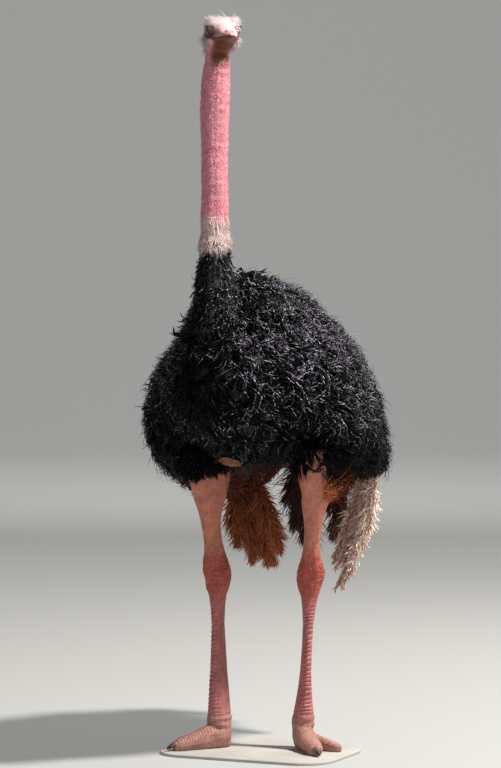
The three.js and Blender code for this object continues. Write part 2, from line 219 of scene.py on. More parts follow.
# %% [markdown]
# Nothing that grew is quite even, so many steps below need a smooth, repeatable unevenness. A sum
# of slow waves in random directions does it, and its seed gives the same result on each run.


# %% Smooth unevenness
def waves(points, size, seed, count=9):
    """Smooth values from about -1 to 1 with bumps about `size` across."""
    draw = np.random.default_rng(seed)
    directions = draw.normal(size=(count, 3))
    directions /= np.linalg.norm(directions, axis=1)[:, None]
    directions *= (math.pi / size) * draw.uniform(0.7, 1.5, (count, 1))
    phases = draw.uniform(0, 2 * math.pi, count)
    return np.sin(points @ directions.T + phases).sum(1) / math.sqrt(count)


def unit(vectors):
    """The vectors, each made 1 long."""
    return vectors / np.maximum(np.linalg.norm(vectors, axis=-1, keepdims=True), 1e-9)


# %% [markdown]
# ## The skin
#
# Under the plumes one skin runs from the nostrils to the toes. The solid model has the right
# outline, but it is cut into parts and its faces are flat, so here the parts of flesh are treated
# as clay: pressed together, remeshed into one even surface and smoothed. Sculpting by hand would
# also work, but clay from the solids keeps every size true.


# %% Clay from the solids
def welded(solid):
    """A solid's points, each kept once, and its triangles."""
    points, index = np.unique(np.round(points_of(solid), 6), axis=0, return_inverse=True)
    return points, index.reshape(-1)[corners_of(solid)]


SWELL = 0.0007


def clay_from(nodes, name, voxel, rounds):
    """One closed, smoothed surface round several solids, pushed out a hair to close their gaps."""
    points, faces, start = [], [], 0
    for node in nodes:
        spots, corners = welded(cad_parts[node].data)
        part = mesh_from("part", spots, corners)
        points.append(spots + normals_of(part) * SWELL)
        faces.append(corners + start)
        start += len(spots)
        bpy.data.meshes.remove(part)
    clay = add_object(name, mesh_from(name, np.vstack(points), np.vstack(faces)))
    return remeshed(clay, voxel, rounds)


def remeshed(clay, voxel, rounds):
    """The object with its surface remeshed into even squares and smoothed a number of rounds."""
    even = clay.modifiers.new("even", "REMESH")
    even.mode = "VOXEL"
    even.voxel_size = voxel
    soften = clay.modifiers.new("soften", "SMOOTH")
    soften.factor = 0.5
    soften.iterations = rounds
    return applied(clay)


def applied(clay):
    """The object with all its modifiers worked into its mesh."""
    bpy.context.view_layer.update()
    solved = clay.evaluated_get(bpy.context.evaluated_depsgraph_get())
    mesh = bpy.data.meshes.new_from_object(solved)
    old = clay.data
    clay.modifiers.clear()
    clay.data = mesh
    bpy.data.meshes.remove(old)
    return clay


def search_tree(mesh):
    return BVHTree.FromPolygons(points_of(mesh).tolist(), corners_of(mesh).tolist())


TRUNK_NODES = ["trunk", "neck_base", "wing_left", "wing_right"]
NECK_NODES = ["neck_base", "neck_collar", "neck_lower", "neck_upper", "head"]
FACE_NODES = ["eye_left", "eye_right", "bill_upper", "bill_lower"]
LEG_NODES = ["drumstick", "hock", "shank", "toe_inner", "toe_outer"]

SIDES = ("left", "right")
TRUNK_GRID, NECK_GRID, LEG_GRID = 0.012, 0.0024, 0.0027

trunk_clay = clay_from(TRUNK_NODES, "trunk_clay", TRUNK_GRID, 10)
neck_clay = clay_from(NECK_NODES + FACE_NODES, "neck_clay", NECK_GRID, 22)
leg_clays = {
    side: clay_from([f"{n}_{side}" for n in LEG_NODES], f"leg_clay_{side}", LEG_GRID, 9)
    for side in SIDES
}
print("clay points", len(trunk_clay.data.vertices), len(neck_clay.data.vertices))

# %% [markdown]
# The solids reach out to the tips of the plumes, and the skin lies deeper by the depth of the
# coat. Each point of the trunk goes straight in, but where the body is thin, as at the edges of
# the wings, it only goes in by a share of the thickness there, so the surface never turns over.

# %% Trunk skin, under the plumes
COAT_DEPTH, NECK_COAT_DEPTH = 0.042, 0.016
THIN_SHARE = 0.33
PAD_SKIN_DEPTH = 0.005


def middle_of(node):
    """The middle of a solid's box."""
    low, high = (np.array(c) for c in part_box(node))
    return (low + high) / 2


PAD_MIDDLE = middle_of("breast_pad")


def thickness_at(tree, points, normals):
    """How thick the body is under each point."""
    depth = np.full(len(points), 1.0)
    for i, (p, n) in enumerate(zip(points, normals)):
        hit = tree.ray_cast(Vector(p - n * 0.002), Vector(-n), 1.0)
        if hit[3] is not None:
            depth[i] = hit[3]
    return depth


def sink_trunk():
    """Lowers the trunk's surface by the coat's depth, less at thin edges and round the callus."""
    mesh = trunk_clay.data
    points, normals = points_of(mesh), normals_of(mesh)
    thickness = thickness_at(search_tree(mesh), points, normals)
    neck_top = soft_step(points[:, 2], 1.36, 1.5)
    wanted = COAT_DEPTH * (1 - neck_top) + NECK_COAT_DEPTH * neck_top
    depth = np.minimum(wanted, thickness * THIN_SHARE)
    edges = np.array([e.vertices[:] for e in mesh.edges])
    for _ in range(6):
        total = np.bincount(edges[:, 0], depth[edges[:, 1]], len(depth))
        total += np.bincount(edges[:, 1], depth[edges[:, 0]], len(depth))
        shared = np.bincount(edges.ravel(), minlength=len(depth))
        depth = np.minimum(wanted, 0.5 * depth + 0.5 * total / shared)
    by_pad = 1 - soft_step(np.linalg.norm(points - PAD_MIDDLE, axis=1), 0.045, 0.13)
    depth = depth * (1 - by_pad) + PAD_SKIN_DEPTH * by_pad
    set_points(mesh, points - normals * depth[:, None])
    print("plume depth", round(depth.min() * 1000), "to", round(depth.max() * 1000), "mm")


sink_trunk()
remeshed(trunk_clay, TRUNK_GRID, 4)

# %% [markdown]
# ## The neck
#
# The neck goes in by only a few millimetres: short feathers at its base, a ring of white hair,
# and above it almost nothing. The gullet and the windpipe make soft lengthwise ridges, and the
# loose skin folds across them.

# %% Neck skin
COLLAR_LOW, COLLAR_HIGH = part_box("neck_collar")[0].z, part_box("neck_collar")[1].z
EYE_CORNERS = [*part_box("eye_left"), *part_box("eye_right")]
HEAD_MIDDLE = (EYE_CORNERS[0] + EYE_CORNERS[1] + EYE_CORNERS[2] + EYE_CORNERS[3]) / 4
FACE_TURN = math.radians(36)
FACE_FORWARD = np.array([math.sin(FACE_TURN), -math.cos(FACE_TURN), 0])
FACE_LEFT = np.array([math.cos(FACE_TURN), math.sin(FACE_TURN), 0])
FACE_UP = np.array([0, 0, 1.0])


def in_face(points):
    """Points as millimetres forward, to the bird's left and up from midway between the eyes."""
    away = (np.asarray(points) - np.array(HEAD_MIDDLE)) * 1000
    return away @ FACE_FORWARD, away @ FACE_LEFT, away @ FACE_UP


def from_face(forward, left, up):
    """The other way round: face millimetres to places in the room."""
    forward, left, up = (np.asarray(v, float)[..., None] / 1000 for v in (forward, left, up))
    return np.array(HEAD_MIDDLE) + forward * FACE_FORWARD + left * FACE_LEFT + up * FACE_UP


def neck_depth(height):
    """How deep the skin lies under the outline at each height of the neck."""
    under_feathers = 1 - soft_step(height, COLLAR_LOW - 0.02, COLLAR_LOW + 0.03)
    under_hair = 1 - soft_step(height, COLLAR_HIGH - 0.05, COLLAR_HIGH + 0.01)
    return 0.0015 + 0.006 * under_hair + 0.0085 * under_feathers


def shape_neck():
    """Sinks the neck's skin and gives its bare stretch ridges along and folds across."""
    mesh = neck_clay.data
    points, normals = points_of(mesh), normals_of(mesh)
    bare = soft_step(points[:, 2], COLLAR_HIGH - 0.05, COLLAR_HIGH)
    bare *= 1 - soft_step(points[:, 2], 2.18, 2.23)
    across = waves(points * [0.4, 0.4, 1.6], 0.02, 11)
    along = waves(points * [1.5, 1.5, 0.12], 0.03, 12)
    out = bare * (0.0007 * across + 0.0012 * along) - neck_depth(points[:, 2])
    set_points(mesh, points + normals * out[:, None])
    print("neck points", len(points))


shape_neck()

# %% [markdown]
# ## The head
#
# An ostrich's head is flat and wide. Its great eyes sit on the sides in bare lids under a bony
# brow, the gape runs back to below the eye, and an open ear lies behind it. Each feature is a soft
# push or pull of the skin, written as a distance in and out along the surface.

# %% Features of the head
EYE_SIDE, EYE_RADIUS = 31.0, 23.0
LID_LONG, LID_HIGH = 16.5, 12.5
GAPE_LEVEL = -27.5
HORN_START, HORN_END = 56.0, 74.0


def shape_head():
    """Opens the lids, and shapes brows, cheeks, ears, gape and the skin under the bill."""
    mesh = neck_clay.data
    points, normals = points_of(mesh), normals_of(mesh)
    forward, left, up = in_face(points)
    side = np.sign(left)
    near = np.clip(1 - ((forward / 70) ** 2 + (up / 60) ** 2), 0, 1) > 0
    lid = np.hypot(forward / LID_LONG, (up - 0.06 * forward) / LID_HIGH)
    ball = EYE_SIDE + np.sqrt(np.maximum(EYE_RADIUS**2 - forward**2 - up**2, 0))
    opening = 1 - soft_step(lid, 0.86, 1.02)
    rim = np.exp(-(((lid - 1.13) / 0.16) ** 2))
    outer = near & (np.abs(left) > 30)
    target = np.where(opening > 0.5, ball - 4.5, ball + 1.2)
    pull = np.where(outer, np.maximum(opening, rim * (np.abs(left) < ball + 1.2)), 0)
    new_left = np.abs(left) + (target - np.abs(left)) * np.clip(pull, 0, 1)
    moved = from_face(forward, side * new_left, up)
    points = np.where(outer[:, None], moved, points)
    brow = np.exp(-(((up - 19) / 5) ** 2) - ((forward - 2) / 24) ** 2) * (np.abs(left) > 20)
    cheek = np.exp(-(((up + 26) / 9) ** 2) - ((forward + 12) / 20) ** 2) * (np.abs(left) > 25)
    ear = np.exp(-(((up + 12) / 5) ** 2) - ((forward + 43) / 4.5) ** 2) * (np.abs(left) > 20)
    gape = np.exp(-(((up - GAPE_LEVEL) / 1.8) ** 2)) * soft_step(forward, 2, 12)
    horn = soft_step(forward, HORN_START, HORN_END)
    push = 2.6 * brow + 1.6 * cheek - 7 * ear - 2.2 * gape * (1 - horn) - 3.4 * horn
    push += 0.5 * waves(points, 0.012, 21) * soft_step(up, -60, -20) * (1 - horn)
    set_points(mesh, points + normals * (push / 1000)[:, None])
    print("head points", int(near.sum()))


shape_head()

# %% [markdown]
# ## Legs and feet
#
# The thigh stays inside the plumes, so what looks like a knee bending backwards is the ankle
# joint, the hock. Below it a row of broad scales, the scutes, guards the front of the shank and
# the tops of the two toes. They are made as shallow steps in the skin, with a groove between
# neighbours, so they also show on the outline.


# %% Leg axes
def leg_frame(side):
    """The middles of a leg's claw, hock and shank, and the way its foot points."""
    ankle = np.array(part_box(f"shank_{side}")[0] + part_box(f"shank_{side}")[1]) / 2
    foot = middle_of(f"toe_inner_{side}")
    claw = middle_of(f"claw_{side}")
    heading = claw - foot
    heading[2] = 0
    return {"claw": claw, "hock": middle_of(f"hock_{side}"), "shank": ankle, "heading": unit(heading)}


LEG_FRAMES = {side: leg_frame(side) for side in SIDES}
SCUTE_PITCH = 0.0135
TOE_PITCH = 0.0095
HOCK_LOW, HOCK_HIGH = 0.5, 0.64
THIGH_HALF = 0.028
print("hocks at", {side: LEG_FRAMES[side]["hock"].round(3).tolist() for side in SIDES})


# %% Scutes, folds and pads of the legs
def right_of_hock(points, side):
    """How far the points are to the viewer's right of a leg's hock."""
    return (points - LEG_FRAMES[side]["hock"]) @ TO_RIGHT


def groove(value, pitch, wide):
    """1 in a narrow groove once every pitch, and 0 on the plates between."""
    away = np.abs((value / pitch + 0.5) % 1 - 0.5) * pitch
    return np.exp(-((away / wide) ** 2))


def shape_leg(side):
    """Presses the scutes, knuckles and pads into a leg, and slims the top of the right thigh."""
    mesh = leg_clays[side].data
    points, normals = points_of(mesh), normals_of(mesh)
    heading = LEG_FRAMES[side]["heading"]
    facing = normals @ heading
    height = points[:, 2]
    shank = soft_step(height, 0.105, 0.13) * (1 - soft_step(height, 0.44, 0.5))
    front = soft_step(facing, 0.15, 0.6)
    drift = 0.004 * waves(points, 0.05, 31)
    plates = groove(height + drift, SCUTE_PITCH, 0.0021)
    push = shank * front * (0.0009 - 0.0026 * plates)
    on_foot = 1 - soft_step(height, 0.095, 0.115)
    top = soft_step(normals[:, 2], 0.15, 0.5)
    run = (points - LEG_FRAMES[side]["shank"]) @ heading
    toe_plates = groove(run + 0.3 * drift, TOE_PITCH, 0.0018)
    push += on_foot * top * (0.0007 - 0.002 * toe_plates)
    pads = waves(points * [1, 1, 0.6], 0.017, 33)
    push += on_foot * (1 - top) * 0.0009 * pads * soft_step(height, 0.012, 0.02)
    joint = soft_step(height, HOCK_LOW, 0.53) * (1 - soft_step(height, 0.6, HOCK_HIGH + 0.02))
    folds = np.abs(waves(points * [0.5, 0.5, 1.5], 0.017, 34))
    knuckles = waves(points, 0.028, 35)
    push += joint * (0.0016 * knuckles - 0.0022 * np.clip(1 - folds * 3, 0, 1))
    thigh = soft_step(height, 0.64, 0.7)
    push += thigh * 0.0014 * waves(points * [1, 1, 0.25], 0.03, 36)
    ankle = soft_step(height, 0.06, 0.08) * (1 - soft_step(height, 0.11, 0.14))
    push += ankle * 0.0012 * waves(points * [0.5, 0.5, 2.0], 0.02, 37)
    push *= soft_step(height, 0.0115, 0.02)
    points = points + normals * push[:, None]
    if side == "right":
        beyond = np.clip(right_of_hock(points, side) - THIGH_HALF, 0, None)
        points -= TO_RIGHT * (0.7 * beyond * soft_step(height, 0.76, 0.84))[:, None]
    set_points(mesh, points)
    print("leg points", side, len(points))


for side in SIDES:
    shape_leg(side)

# %% [markdown]
# The four shapes of clay are joined with a boolean union. The joints lie inside the plumes. The
# mesh is far finer than it has to be on smooth stretches, so a collapse keeps its points where the
# surface bends, and the whole skin stays light.

# %% One skin
SKIN_TRIANGLES = 155000
roots_from = {
    "trunk": trunk_clay.data.copy(),
    "neck": neck_clay.data.copy(),
    "leg_left": leg_clays["left"].data.copy(),
    "leg_right": leg_clays["right"].data.copy(),
}


def united(base, others):
    """The base joined with the others, which are used up."""
    for other in others:
        union = base.modifiers.new("union", "BOOLEAN")
        union.operation = "UNION"
        union.solver = "MANIFOLD"
        union.object = other
    applied(base)
    for other in others:
        bpy.data.objects.remove(other)
    return base


skin = united(neck_clay, [trunk_clay, leg_clays["left"], leg_clays["right"]])
skin.name = "skin"
fine = len(corners_of(skin.data))
thin = skin.modifiers.new("thin", "DECIMATE")
thin.ratio = min(1, SKIN_TRIANGLES / fine)
applied(skin)
skin.data.name = "skin"
print("skin", fine, "to", len(corners_of(skin.data)), "triangles")

# %% [markdown]
# ## Markings
#
# One function gives the colour of the bare skin anywhere on the bird, so that skin, bristles and
# hairs always agree: black under the plumes, as painted shade so that gaps in the coat look black,
# white at the ring of hair, red-pink up the neck, nearly white on the crown, dark round the eyes,
# and from thigh to toe brown-pink, brick red at the hock and dusty pink at the foot, darkened a
# little there as painted shade.

# %% Colour of the skin by place
TONES = {
    # Black is the plumes' own colour. On the skin under them it is painted shade, so gaps in the coat look
    # black.
    "plume_black_and_shade": chip("070608"),
    "ring": chip("ecd9d6"),
    "neck": chip("d98797"),
    "neck_deep": chip("ac515e"),
    "crown": chip("dccaca"),
    "lid": chip("622a38"),
    "jaw": chip("6b3c22"),
    "thigh": chip("c07a66"),
    "hock": chip("ad564c"),
    "shank": chip("b4706f"),
    # The foot's own dusty pink, darkened a little as painted shade for the shadow of the body.
    "foot": chip("a97d73"),
}
ARCH_ACROSS = [-0.03, 0.0, 0.025, 0.045, 0.06]
ARCH_HEIGHTS = [0.93, 0.955, 0.968, 0.93, 0.868]
RIGHT_THIGH_EDGE = 0.925
leg_trees = {side: search_tree(roots_from[f"leg_{side}"]) for side in SIDES}


def leg_share(points):
    """1 on the bare legs and 0 on the trunk."""
    share = np.zeros(len(points))
    low = np.where(points[:, 2] < 1.0)[0]
    for tree in leg_trees.values():
        for i in low:
            found = tree.find_nearest(Vector(points[i]), 0.0035)
            if found[0] is not None:
                share[i] = 1
    return share


def thigh_edge(points):
    """The height at which the plumes end on a thigh: a pointed arch on the left one."""
    arch = np.interp(right_of_hock(points, "left"), ARCH_ACROSS, ARCH_HEIGHTS)
    return np.where(points[:, 0] > 0, arch + 0.006 * waves(points, 0.02, 45), RIGHT_THIGH_EDGE)


def skin_tones(points, leg):
    """The colour of the skin at each point. leg is 1 on the bare legs and 0 elsewhere."""
    height = points[:, 2]
    # Everything starts black: painted shade on the skin under the plumes.
    colour = np.tile(TONES["plume_black_and_shade"], (len(points), 1))
    mottle = 0.5 + 0.5 * waves(points, 0.014, 41)
    neck = blend_tones(TONES["neck"], TONES["neck_deep"], 0.3 * mottle)
    ragged = height + 0.012 * waves(points * [1, 1, 0.3], 0.02, 42)
    colour = blend_tones(colour, TONES["ring"], soft_step(ragged, COLLAR_LOW - 0.004, COLLAR_LOW + 0.006))
    into_neck = soft_step(ragged, COLLAR_HIGH - 0.055, COLLAR_HIGH + 0.015)
    colour = blend_tones(colour, neck, into_neck)
    colour = face_tones(points, colour)
    leg_colour = blend_tones(TONES["foot"], TONES["shank"], soft_step(height, 0.07, 0.16))
    leg_colour = blend_tones(leg_colour, TONES["hock"], soft_step(height, 0.45, 0.53))
    leg_colour = blend_tones(leg_colour, TONES["thigh"], soft_step(height, 0.6, 0.68))
    leg_colour = leg_colour * (0.93 + 0.07 * waves(points, 0.025, 43)[:, None])
    leg_colour = leg_colour * (1 + 0.09 * waves(points, 0.009, 46)[:, None])
    edge = thigh_edge(points)
    # The thigh under its plumes is painted black as well: painted shade.
    covered = soft_step(height, edge + 0.004, edge + 0.014)
    leg_colour = blend_tones(leg_colour, TONES["plume_black_and_shade"], covered)
    return np.clip(blend_tones(colour, leg_colour, leg), 0, 1)


def lid_share(forward, left, up):
    """How dark the skin is round the eye and in front of it."""
    away = np.hypot((forward - 14) / 42, (up + 7) / 22)
    return (1 - soft_step(away, 0.75, 1.2)) * soft_step(np.abs(left), 12, 20)


def face_tones(points, colour):
    """The colours of the head, over those of the neck."""
    forward, left, up = in_face(points)
    on_head = (points[:, 2] > 2.1) & (up < 90)
    crown = soft_step(up + 0.22 * forward, 2, 16) * on_head
    colour = blend_tones(colour, TONES["crown"], crown)
    cheek = soft_step(up, -62, -30) * (1 - soft_step(forward, 10, 30)) * 0.55 * on_head
    colour = blend_tones(colour, TONES["crown"], cheek)
    lid = lid_share(forward, left, up + 3 * waves(points, 0.01, 44))
    colour = blend_tones(colour, TONES["lid"], lid * on_head)
    jaw = soft_step(forward - 0.5 * up, 0, 26) * (1 - soft_step(up, -36, -27))
    jaw *= soft_step(up, -130, -85) * (1 - soft_step(np.abs(left), 26, 40))
    colour = blend_tones(colour, TONES["jaw"], jaw * on_head)
    # The open ear is painted with the dark lid tone: painted shade in its hollow.
    ear = np.exp(-(((up + 12) / 4) ** 2) - ((forward + 43) / 4) ** 2)
    return blend_tones(colour, TONES["lid"], ear * on_head)


# %% Paint the skin
skin_points = points_of(skin.data)
skin_colours = skin_tones(skin_points, leg_share(skin_points))
paint(skin.data, skin_colours)
print("skin painted")

# %% [markdown]
# ## Materials
#
# Each finish starts from the Principled shader. The colour comes from the painted attribute, and
# noise breaks it up at the scale that the real surface shows: pores and bristle roots on skin,
# fibres in horn, glints in plumes.


# %% Node helpers
def finish(name, roughness, specular, coat=0.0):
    """A new material, its node tree and its shader, with the constant values on the shader."""
    made = bpy.data.materials.new(name)
    made.use_nodes = True
    tree = made.node_tree
    shader = tree.nodes["Principled BSDF"]
    shader.inputs["Roughness"].default_value = roughness
    shader.inputs["Specular IOR Level"].default_value = specular
    shader.inputs["Coat Weight"].default_value = coat
    return made, tree, shader


def place(tree, scale=(1, 1, 1)):
    """Coordinates in metres, stretched as asked, so that grain can run one way."""
    where = tree.nodes.new("ShaderNodeTexCoord")
    stretch = tree.nodes.new("ShaderNodeMapping")
    stretch.inputs["Scale"].default_value = scale
    tree.links.new(where.outputs["Object"], stretch.inputs["Vector"])
    return stretch.outputs["Vector"]


def grain(tree, where, scale, detail=3.0, roughness=0.55):
    """A cloudy noise pattern."""
    node = tree.nodes.new("ShaderNodeTexNoise")
    node.inputs["Scale"].default_value = scale
    node.inputs["Detail"].default_value = detail
    node.inputs["Roughness"].default_value = roughness
    tree.links.new(where, node.inputs["Vector"])
    return node.outputs["Fac"]


def cells(tree, where, scale, feature="F1"):
    """A pattern of small cells."""
    node = tree.nodes.new("ShaderNodeTexVoronoi")
    node.feature = feature
    node.inputs["Scale"].default_value = scale
    tree.links.new(where, node.inputs["Vector"])
    return node.outputs["Distance"]


def spread(tree, value, low, high, to_low=0.0, to_high=1.0):
    """A value taken from one range to another and held inside it."""
    node = tree.nodes.new("ShaderNodeMapRange")
    node.inputs["From Min"].default_value = low
    node.inputs["From Max"].default_value = high
    node.inputs["To Min"].default_value = to_low
    node.inputs["To Max"].default_value = to_high
    tree.links.new(value, node.inputs["Value"])
    return node.outputs["Result"]


def mixed(tree, a, b, share, way="MIX"):
    """Two colours mixed; each may be a socket or a fixed colour."""
    node = tree.nodes.new("ShaderNodeMix")
    node.data_type = "RGBA"
    node.blend_type = way
    for socket, value in ((node.inputs[6], a), (node.inputs[7], b), (node.inputs[0], share)):
        if isinstance(value, bpy.types.NodeSocket):
            tree.links.new(value, socket)
        else:
            socket.default_value = value if np.isscalar(value) else (*value, 1)
    return node.outputs[2]


def painted(tree):
    """The colour painted on the points."""
    node = tree.nodes.new("ShaderNodeAttribute")
    node.attribute_name = "tint"
    return node.outputs["Color"]


def bumped(tree, shader, height, distance, strength=1.0):
    """Raises the surface by a pattern."""
    node = tree.nodes.new("ShaderNodeBump")
    node.inputs["Distance"].default_value = distance
    node.inputs["Strength"].default_value = strength
    tree.links.new(height, node.inputs["Height"])
    if shader.inputs["Normal"].is_linked:
        tree.links.new(shader.inputs["Normal"].links[0].from_socket, node.inputs["Normal"])
    tree.links.new(node.outputs["Normal"], shader.inputs["Normal"])


# %% [markdown]
# Bare skin is neither flat nor even. Blood shows through in blotches, and every bristle grows from
# a small pale bump. Noise multiplies the painted colour for the first, and small cells brighten and
# raise it for the second, so the black painted as shade under the plumes stays black.


# %% Skin finish
def skin_finish():
    made, tree, shader = finish("bare_skin", 0.52, 0.28)
    where = place(tree)
    blotches = spread(tree, grain(tree, where, 110, 5, 0.65), 0.42, 0.68, 0, 0.75)
    mottled = mixed(tree, painted(tree), (0.8, 0.52, 0.5), blotches, "MULTIPLY")
    pores = spread(tree, cells(tree, where, 230), 0.12, 0.3, 1, 0)
    dotted = mixed(tree, mottled, (1.3, 2.3, 1.9), spread(tree, pores, 0.25, 1, 0, 0.5), "MULTIPLY")
    tree.links.new(dotted, shader.inputs["Base Color"])
    tree.links.new(spread(tree, grain(tree, where, 90), 0.3, 0.7, 0.42, 0.66), shader.inputs["Roughness"])
    bumped(tree, shader, cells(tree, where, 230), 0.0009, 0.8)
    bumped(tree, shader, grain(tree, place(tree, (1, 1, 2.2)), 110, 4), 0.0016, 0.7)
    return made


FLESH = NECK_NODES + ["trunk", "wing_left", "wing_right"]
FLESH += [f"{n}_{side}" for n in LEG_NODES for side in SIDES]
finished("skin", skin, skin_finish(), FLESH)

# %% [markdown]
# ## Locks
#
# An ostrich's plumes have no hooks to hold their barbs together, so they hang in loose, curling
# locks. Every lock here is a closed, thin, tapered blade on a bent line. The line starts at the
# skin, rises by a lift, leans along the lie of the coat and curls at its tip. One function makes
# any number of them at once: hair, bristles, plume tips and barbs are all its children.


# %% Locks
DOWN = np.array([0.0, 0.0, -1.0])
LOCK_SIDES = 3
FULLEST = 0.35
PATCH = 0.003


def fullness(t):
    """How wide a blade is at a share t of its length, widest where t is FULLEST."""
    return min(1, 0.55 + t / FULLEST * 0.45) * (1 - max(0, (t - FULLEST) / (1 - FULLEST)) ** 1.6)


def locks(root, out, lie, length, wide, thick, lift, curl, sway, steps=4, sink=0.004, sag=0.0):
    """Points and triangles of many tapered blades.

    root, out and lie are a place, the surface's normal and the lie of the coat for each lock.
    lift and curl are how far it leans out at its root and its tip, in radians, and sway is how
    far it turns sideways on its way. sag pulls its tip down, as a share of its length.
    """
    count, sides = len(root), LOCK_SIDES
    sized = (np.broadcast_to(v, count) for v in (length, wide, thick, lift, curl, sway))
    length, wide, thick, lift, curl, sway = sized
    across = unit(np.cross(lie, out))
    line = root - out * sink
    rings, directions = [line], []
    for k in range(steps):
        t = (k + 0.5) / steps
        rise = lift * (1 - t) + curl * t * t
        turn = sway * t
        flat = lie * np.cos(turn)[:, None] + across * np.sin(turn)[:, None]
        heading = flat * np.cos(rise)[:, None] + out * np.sin(rise)[:, None]
        heading = unit(heading + DOWN * (np.asarray(sag) * 2 * t)[..., None])
        directions.append(heading)
        line = line + heading * (length / steps)[:, None]
        rings.append(line)
    points = np.zeros((count, steps * sides + 1, 3))
    for k in range(steps):
        heading = directions[max(k - 1, 0)] + directions[k]
        side = unit(np.cross(heading, out))
        face = unit(np.cross(side, heading))
        full = fullness(k / steps)
        for s in range(sides):
            angle = 2 * math.pi * (s + 0.25) / sides
            offset = side * (math.cos(angle) * wide * full / 2)[:, None]
            offset = offset + face * (math.sin(angle) * thick * max(full, 0.4) / 2)[:, None]
            points[:, k * sides + s] = rings[k] + offset
    points[:, -1] = rings[-1]
    faces = tube_faces(steps, sides)
    last = (steps - 1) * sides
    faces += [(last + s, last + (s + 1) % sides, steps * sides) for s in range(sides)]
    faces += [(0, s + 1, s) for s in range(1, sides - 1)]
    faces = np.array(faces)
    a, b, c = (points[0, faces[:, k]] - points[0, 0] for k in range(3))
    if (np.cross(a, b) * c).sum() < 0:
        faces = faces[:, ::-1]
    per_lock = steps * sides + 1
    every = (faces[None] + (np.arange(count) * per_lock)[:, None, None]).reshape(-1, 3)
    along = np.append(np.repeat(np.arange(steps) / steps, sides), 1.0)
    around = np.append(np.tile(np.arange(sides) / sides, steps), 0.5)
    return {"points": points.reshape(-1, 3), "faces": every, "along": along, "around": around}


def lock_mesh(name, made, colours, atlas):
    """A mesh of locks with a colour for each point, and the OFBake map from each root's place."""
    mesh = mesh_from(name, made["points"], made["faces"])
    paint(mesh, colours.reshape(-1, 3))
    per_lock = len(made["along"])
    corner = made["faces"].ravel()
    which, inside = corner // per_lock, corner % per_lock
    uv = atlas[which] + PATCH * (np.stack([made["around"][inside], made["along"][inside]], 1) - 0.5)
    layer = mesh.uv_layers.new(name="OFBake")
    layer.data.foreach_set("uv", np.ascontiguousarray(uv, np.float32).ravel())
    return mesh


# %% Roots spread over a surface
TRIES = 2.2
CELL_PRIMES = np.array([73856093, 19349663, 83492791])


def scatter(mesh, count, seed, keep):
    """Roots spread evenly over a surface where keep says yes, with their normals.

    Of many random places, the first in each cell of a grid is kept, so that no two crowd.
    """
    draw = np.random.default_rng(seed)
    points, normals, corners = points_of(mesh), normals_of(mesh), corners_of(mesh)
    a, b, c = points[corners[:, 0]], points[corners[:, 1]], points[corners[:, 2]]
    centre = (a + b + c) / 3
    area = np.linalg.norm(np.cross(b - a, c - a), axis=1) / 2 * keep(centre)
    wanted = int(count * TRIES)
    chosen = draw.choice(len(corners), wanted, p=area / area.sum())
    u, v = draw.random(wanted), draw.random(wanted)
    flip = u + v > 1
    u[flip], v[flip] = 1 - u[flip], 1 - v[flip]
    place_on = a[chosen] + (b - a)[chosen] * u[:, None] + (c - a)[chosen] * v[:, None]
    share = np.stack([1 - u - v, u, v], 1)
    out = unit((normals[corners[chosen]] * share[..., None]).sum(1))
    spacing = math.sqrt(area.sum() / count) * 0.93
    cell = np.floor(place_on / spacing).astype(np.int64) @ CELL_PRIMES
    _, first = np.unique(cell, return_index=True)
    first = np.sort(first)[:count]
    return place_on[first], out[first]


# %% [markdown]
# The bake map of a piece unrolls the skin under it. The trunk is close to an egg lying along the
# back, so a root's place is its turn round that axis and its angle from the tail. The neck is close
# to an upright tube, so there it is the turn round the tube and the height.


# %% Unrolling the skin
TRUNK_MIDDLE = np.array([0.012, -0.054, 1.2])
NECK_LINE = np.array([0.02, -0.45, 0])
NECK_FLOOR, NECK_CEILING = 1.5, 2.35


def egg_map(points):
    """A place on the map from the turn round the trunk's axis and the angle from the tail."""
    away = unit(points - TRUNK_MIDDLE)
    turn = np.arctan2(away[:, 0], away[:, 2]) / (2 * math.pi) + 0.5
    along = np.arccos(np.clip(away[:, 1], -1, 1)) / math.pi
    return 0.01 + 0.98 * np.stack([turn, along], 1)


def neck_map(points):
    """A place on the map from the turn round the neck and the height."""
    away = points - NECK_LINE
    turn = np.arctan2(away[:, 0], away[:, 1]) / (2 * math.pi) + 0.5
    along = np.clip((points[:, 2] - NECK_FLOOR) / (NECK_CEILING - NECK_FLOOR), 0, 1)
    return 0.01 + 0.98 * np.stack([turn, along], 1)


def lie_along(out, flow):
    """The part of a flow that runs along the surface."""
    flat = flow - out * (flow * out).sum(1)[:, None]
    spare = np.array([0, 0, -1.0]) - out * out[:, 2:] * -1.0
    short = np.linalg.norm(flat, axis=1) < 0.15
    flat[short] = spare[short]
    return unit(flat)


# %% [markdown]
# ## The black coat
#
# The plumes grow in clumps: a few locks from one root that share a lean and a curl. On the neck
# base they are short and lie close, on the breast and back they are long and stand out, and their
# tips curl in again, which gives the coat its woolly look. The coat is made in regions, each its
# own piece, because one mesh of all the locks would be unwieldy.

# %% Lie and colour of the plumes
PLUME_BLACK = TONES["plume_black_and_shade"]
PLUME_GREY = chip("141216")
# Silver of the plume tips: a painted glint colour.
PLUME_GLINT = chip("76727d")
HEM_BROWN = chip("4a2a1c")
CINNAMON = chip("5e2f1d")


def coat_flow(points):
    """The lie of the body's plumes: back and down, outward over the sides, and down the neck."""
    flow = np.tile([0.0, 0.75, -0.62], (len(points), 1))
    flow[:, 0] = np.sign(points[:, 0] - TRUNK_MIDDLE[0]) * 0.12
    near_neck = soft_step(points[:, 2], 1.3, 1.45) * (1 - soft_step(points[:, 1], -0.35, -0.15))
    down = np.array([0, 0.12, -1.0])
    return flow * (1 - near_neck[:, None]) + down * near_neck[:, None]


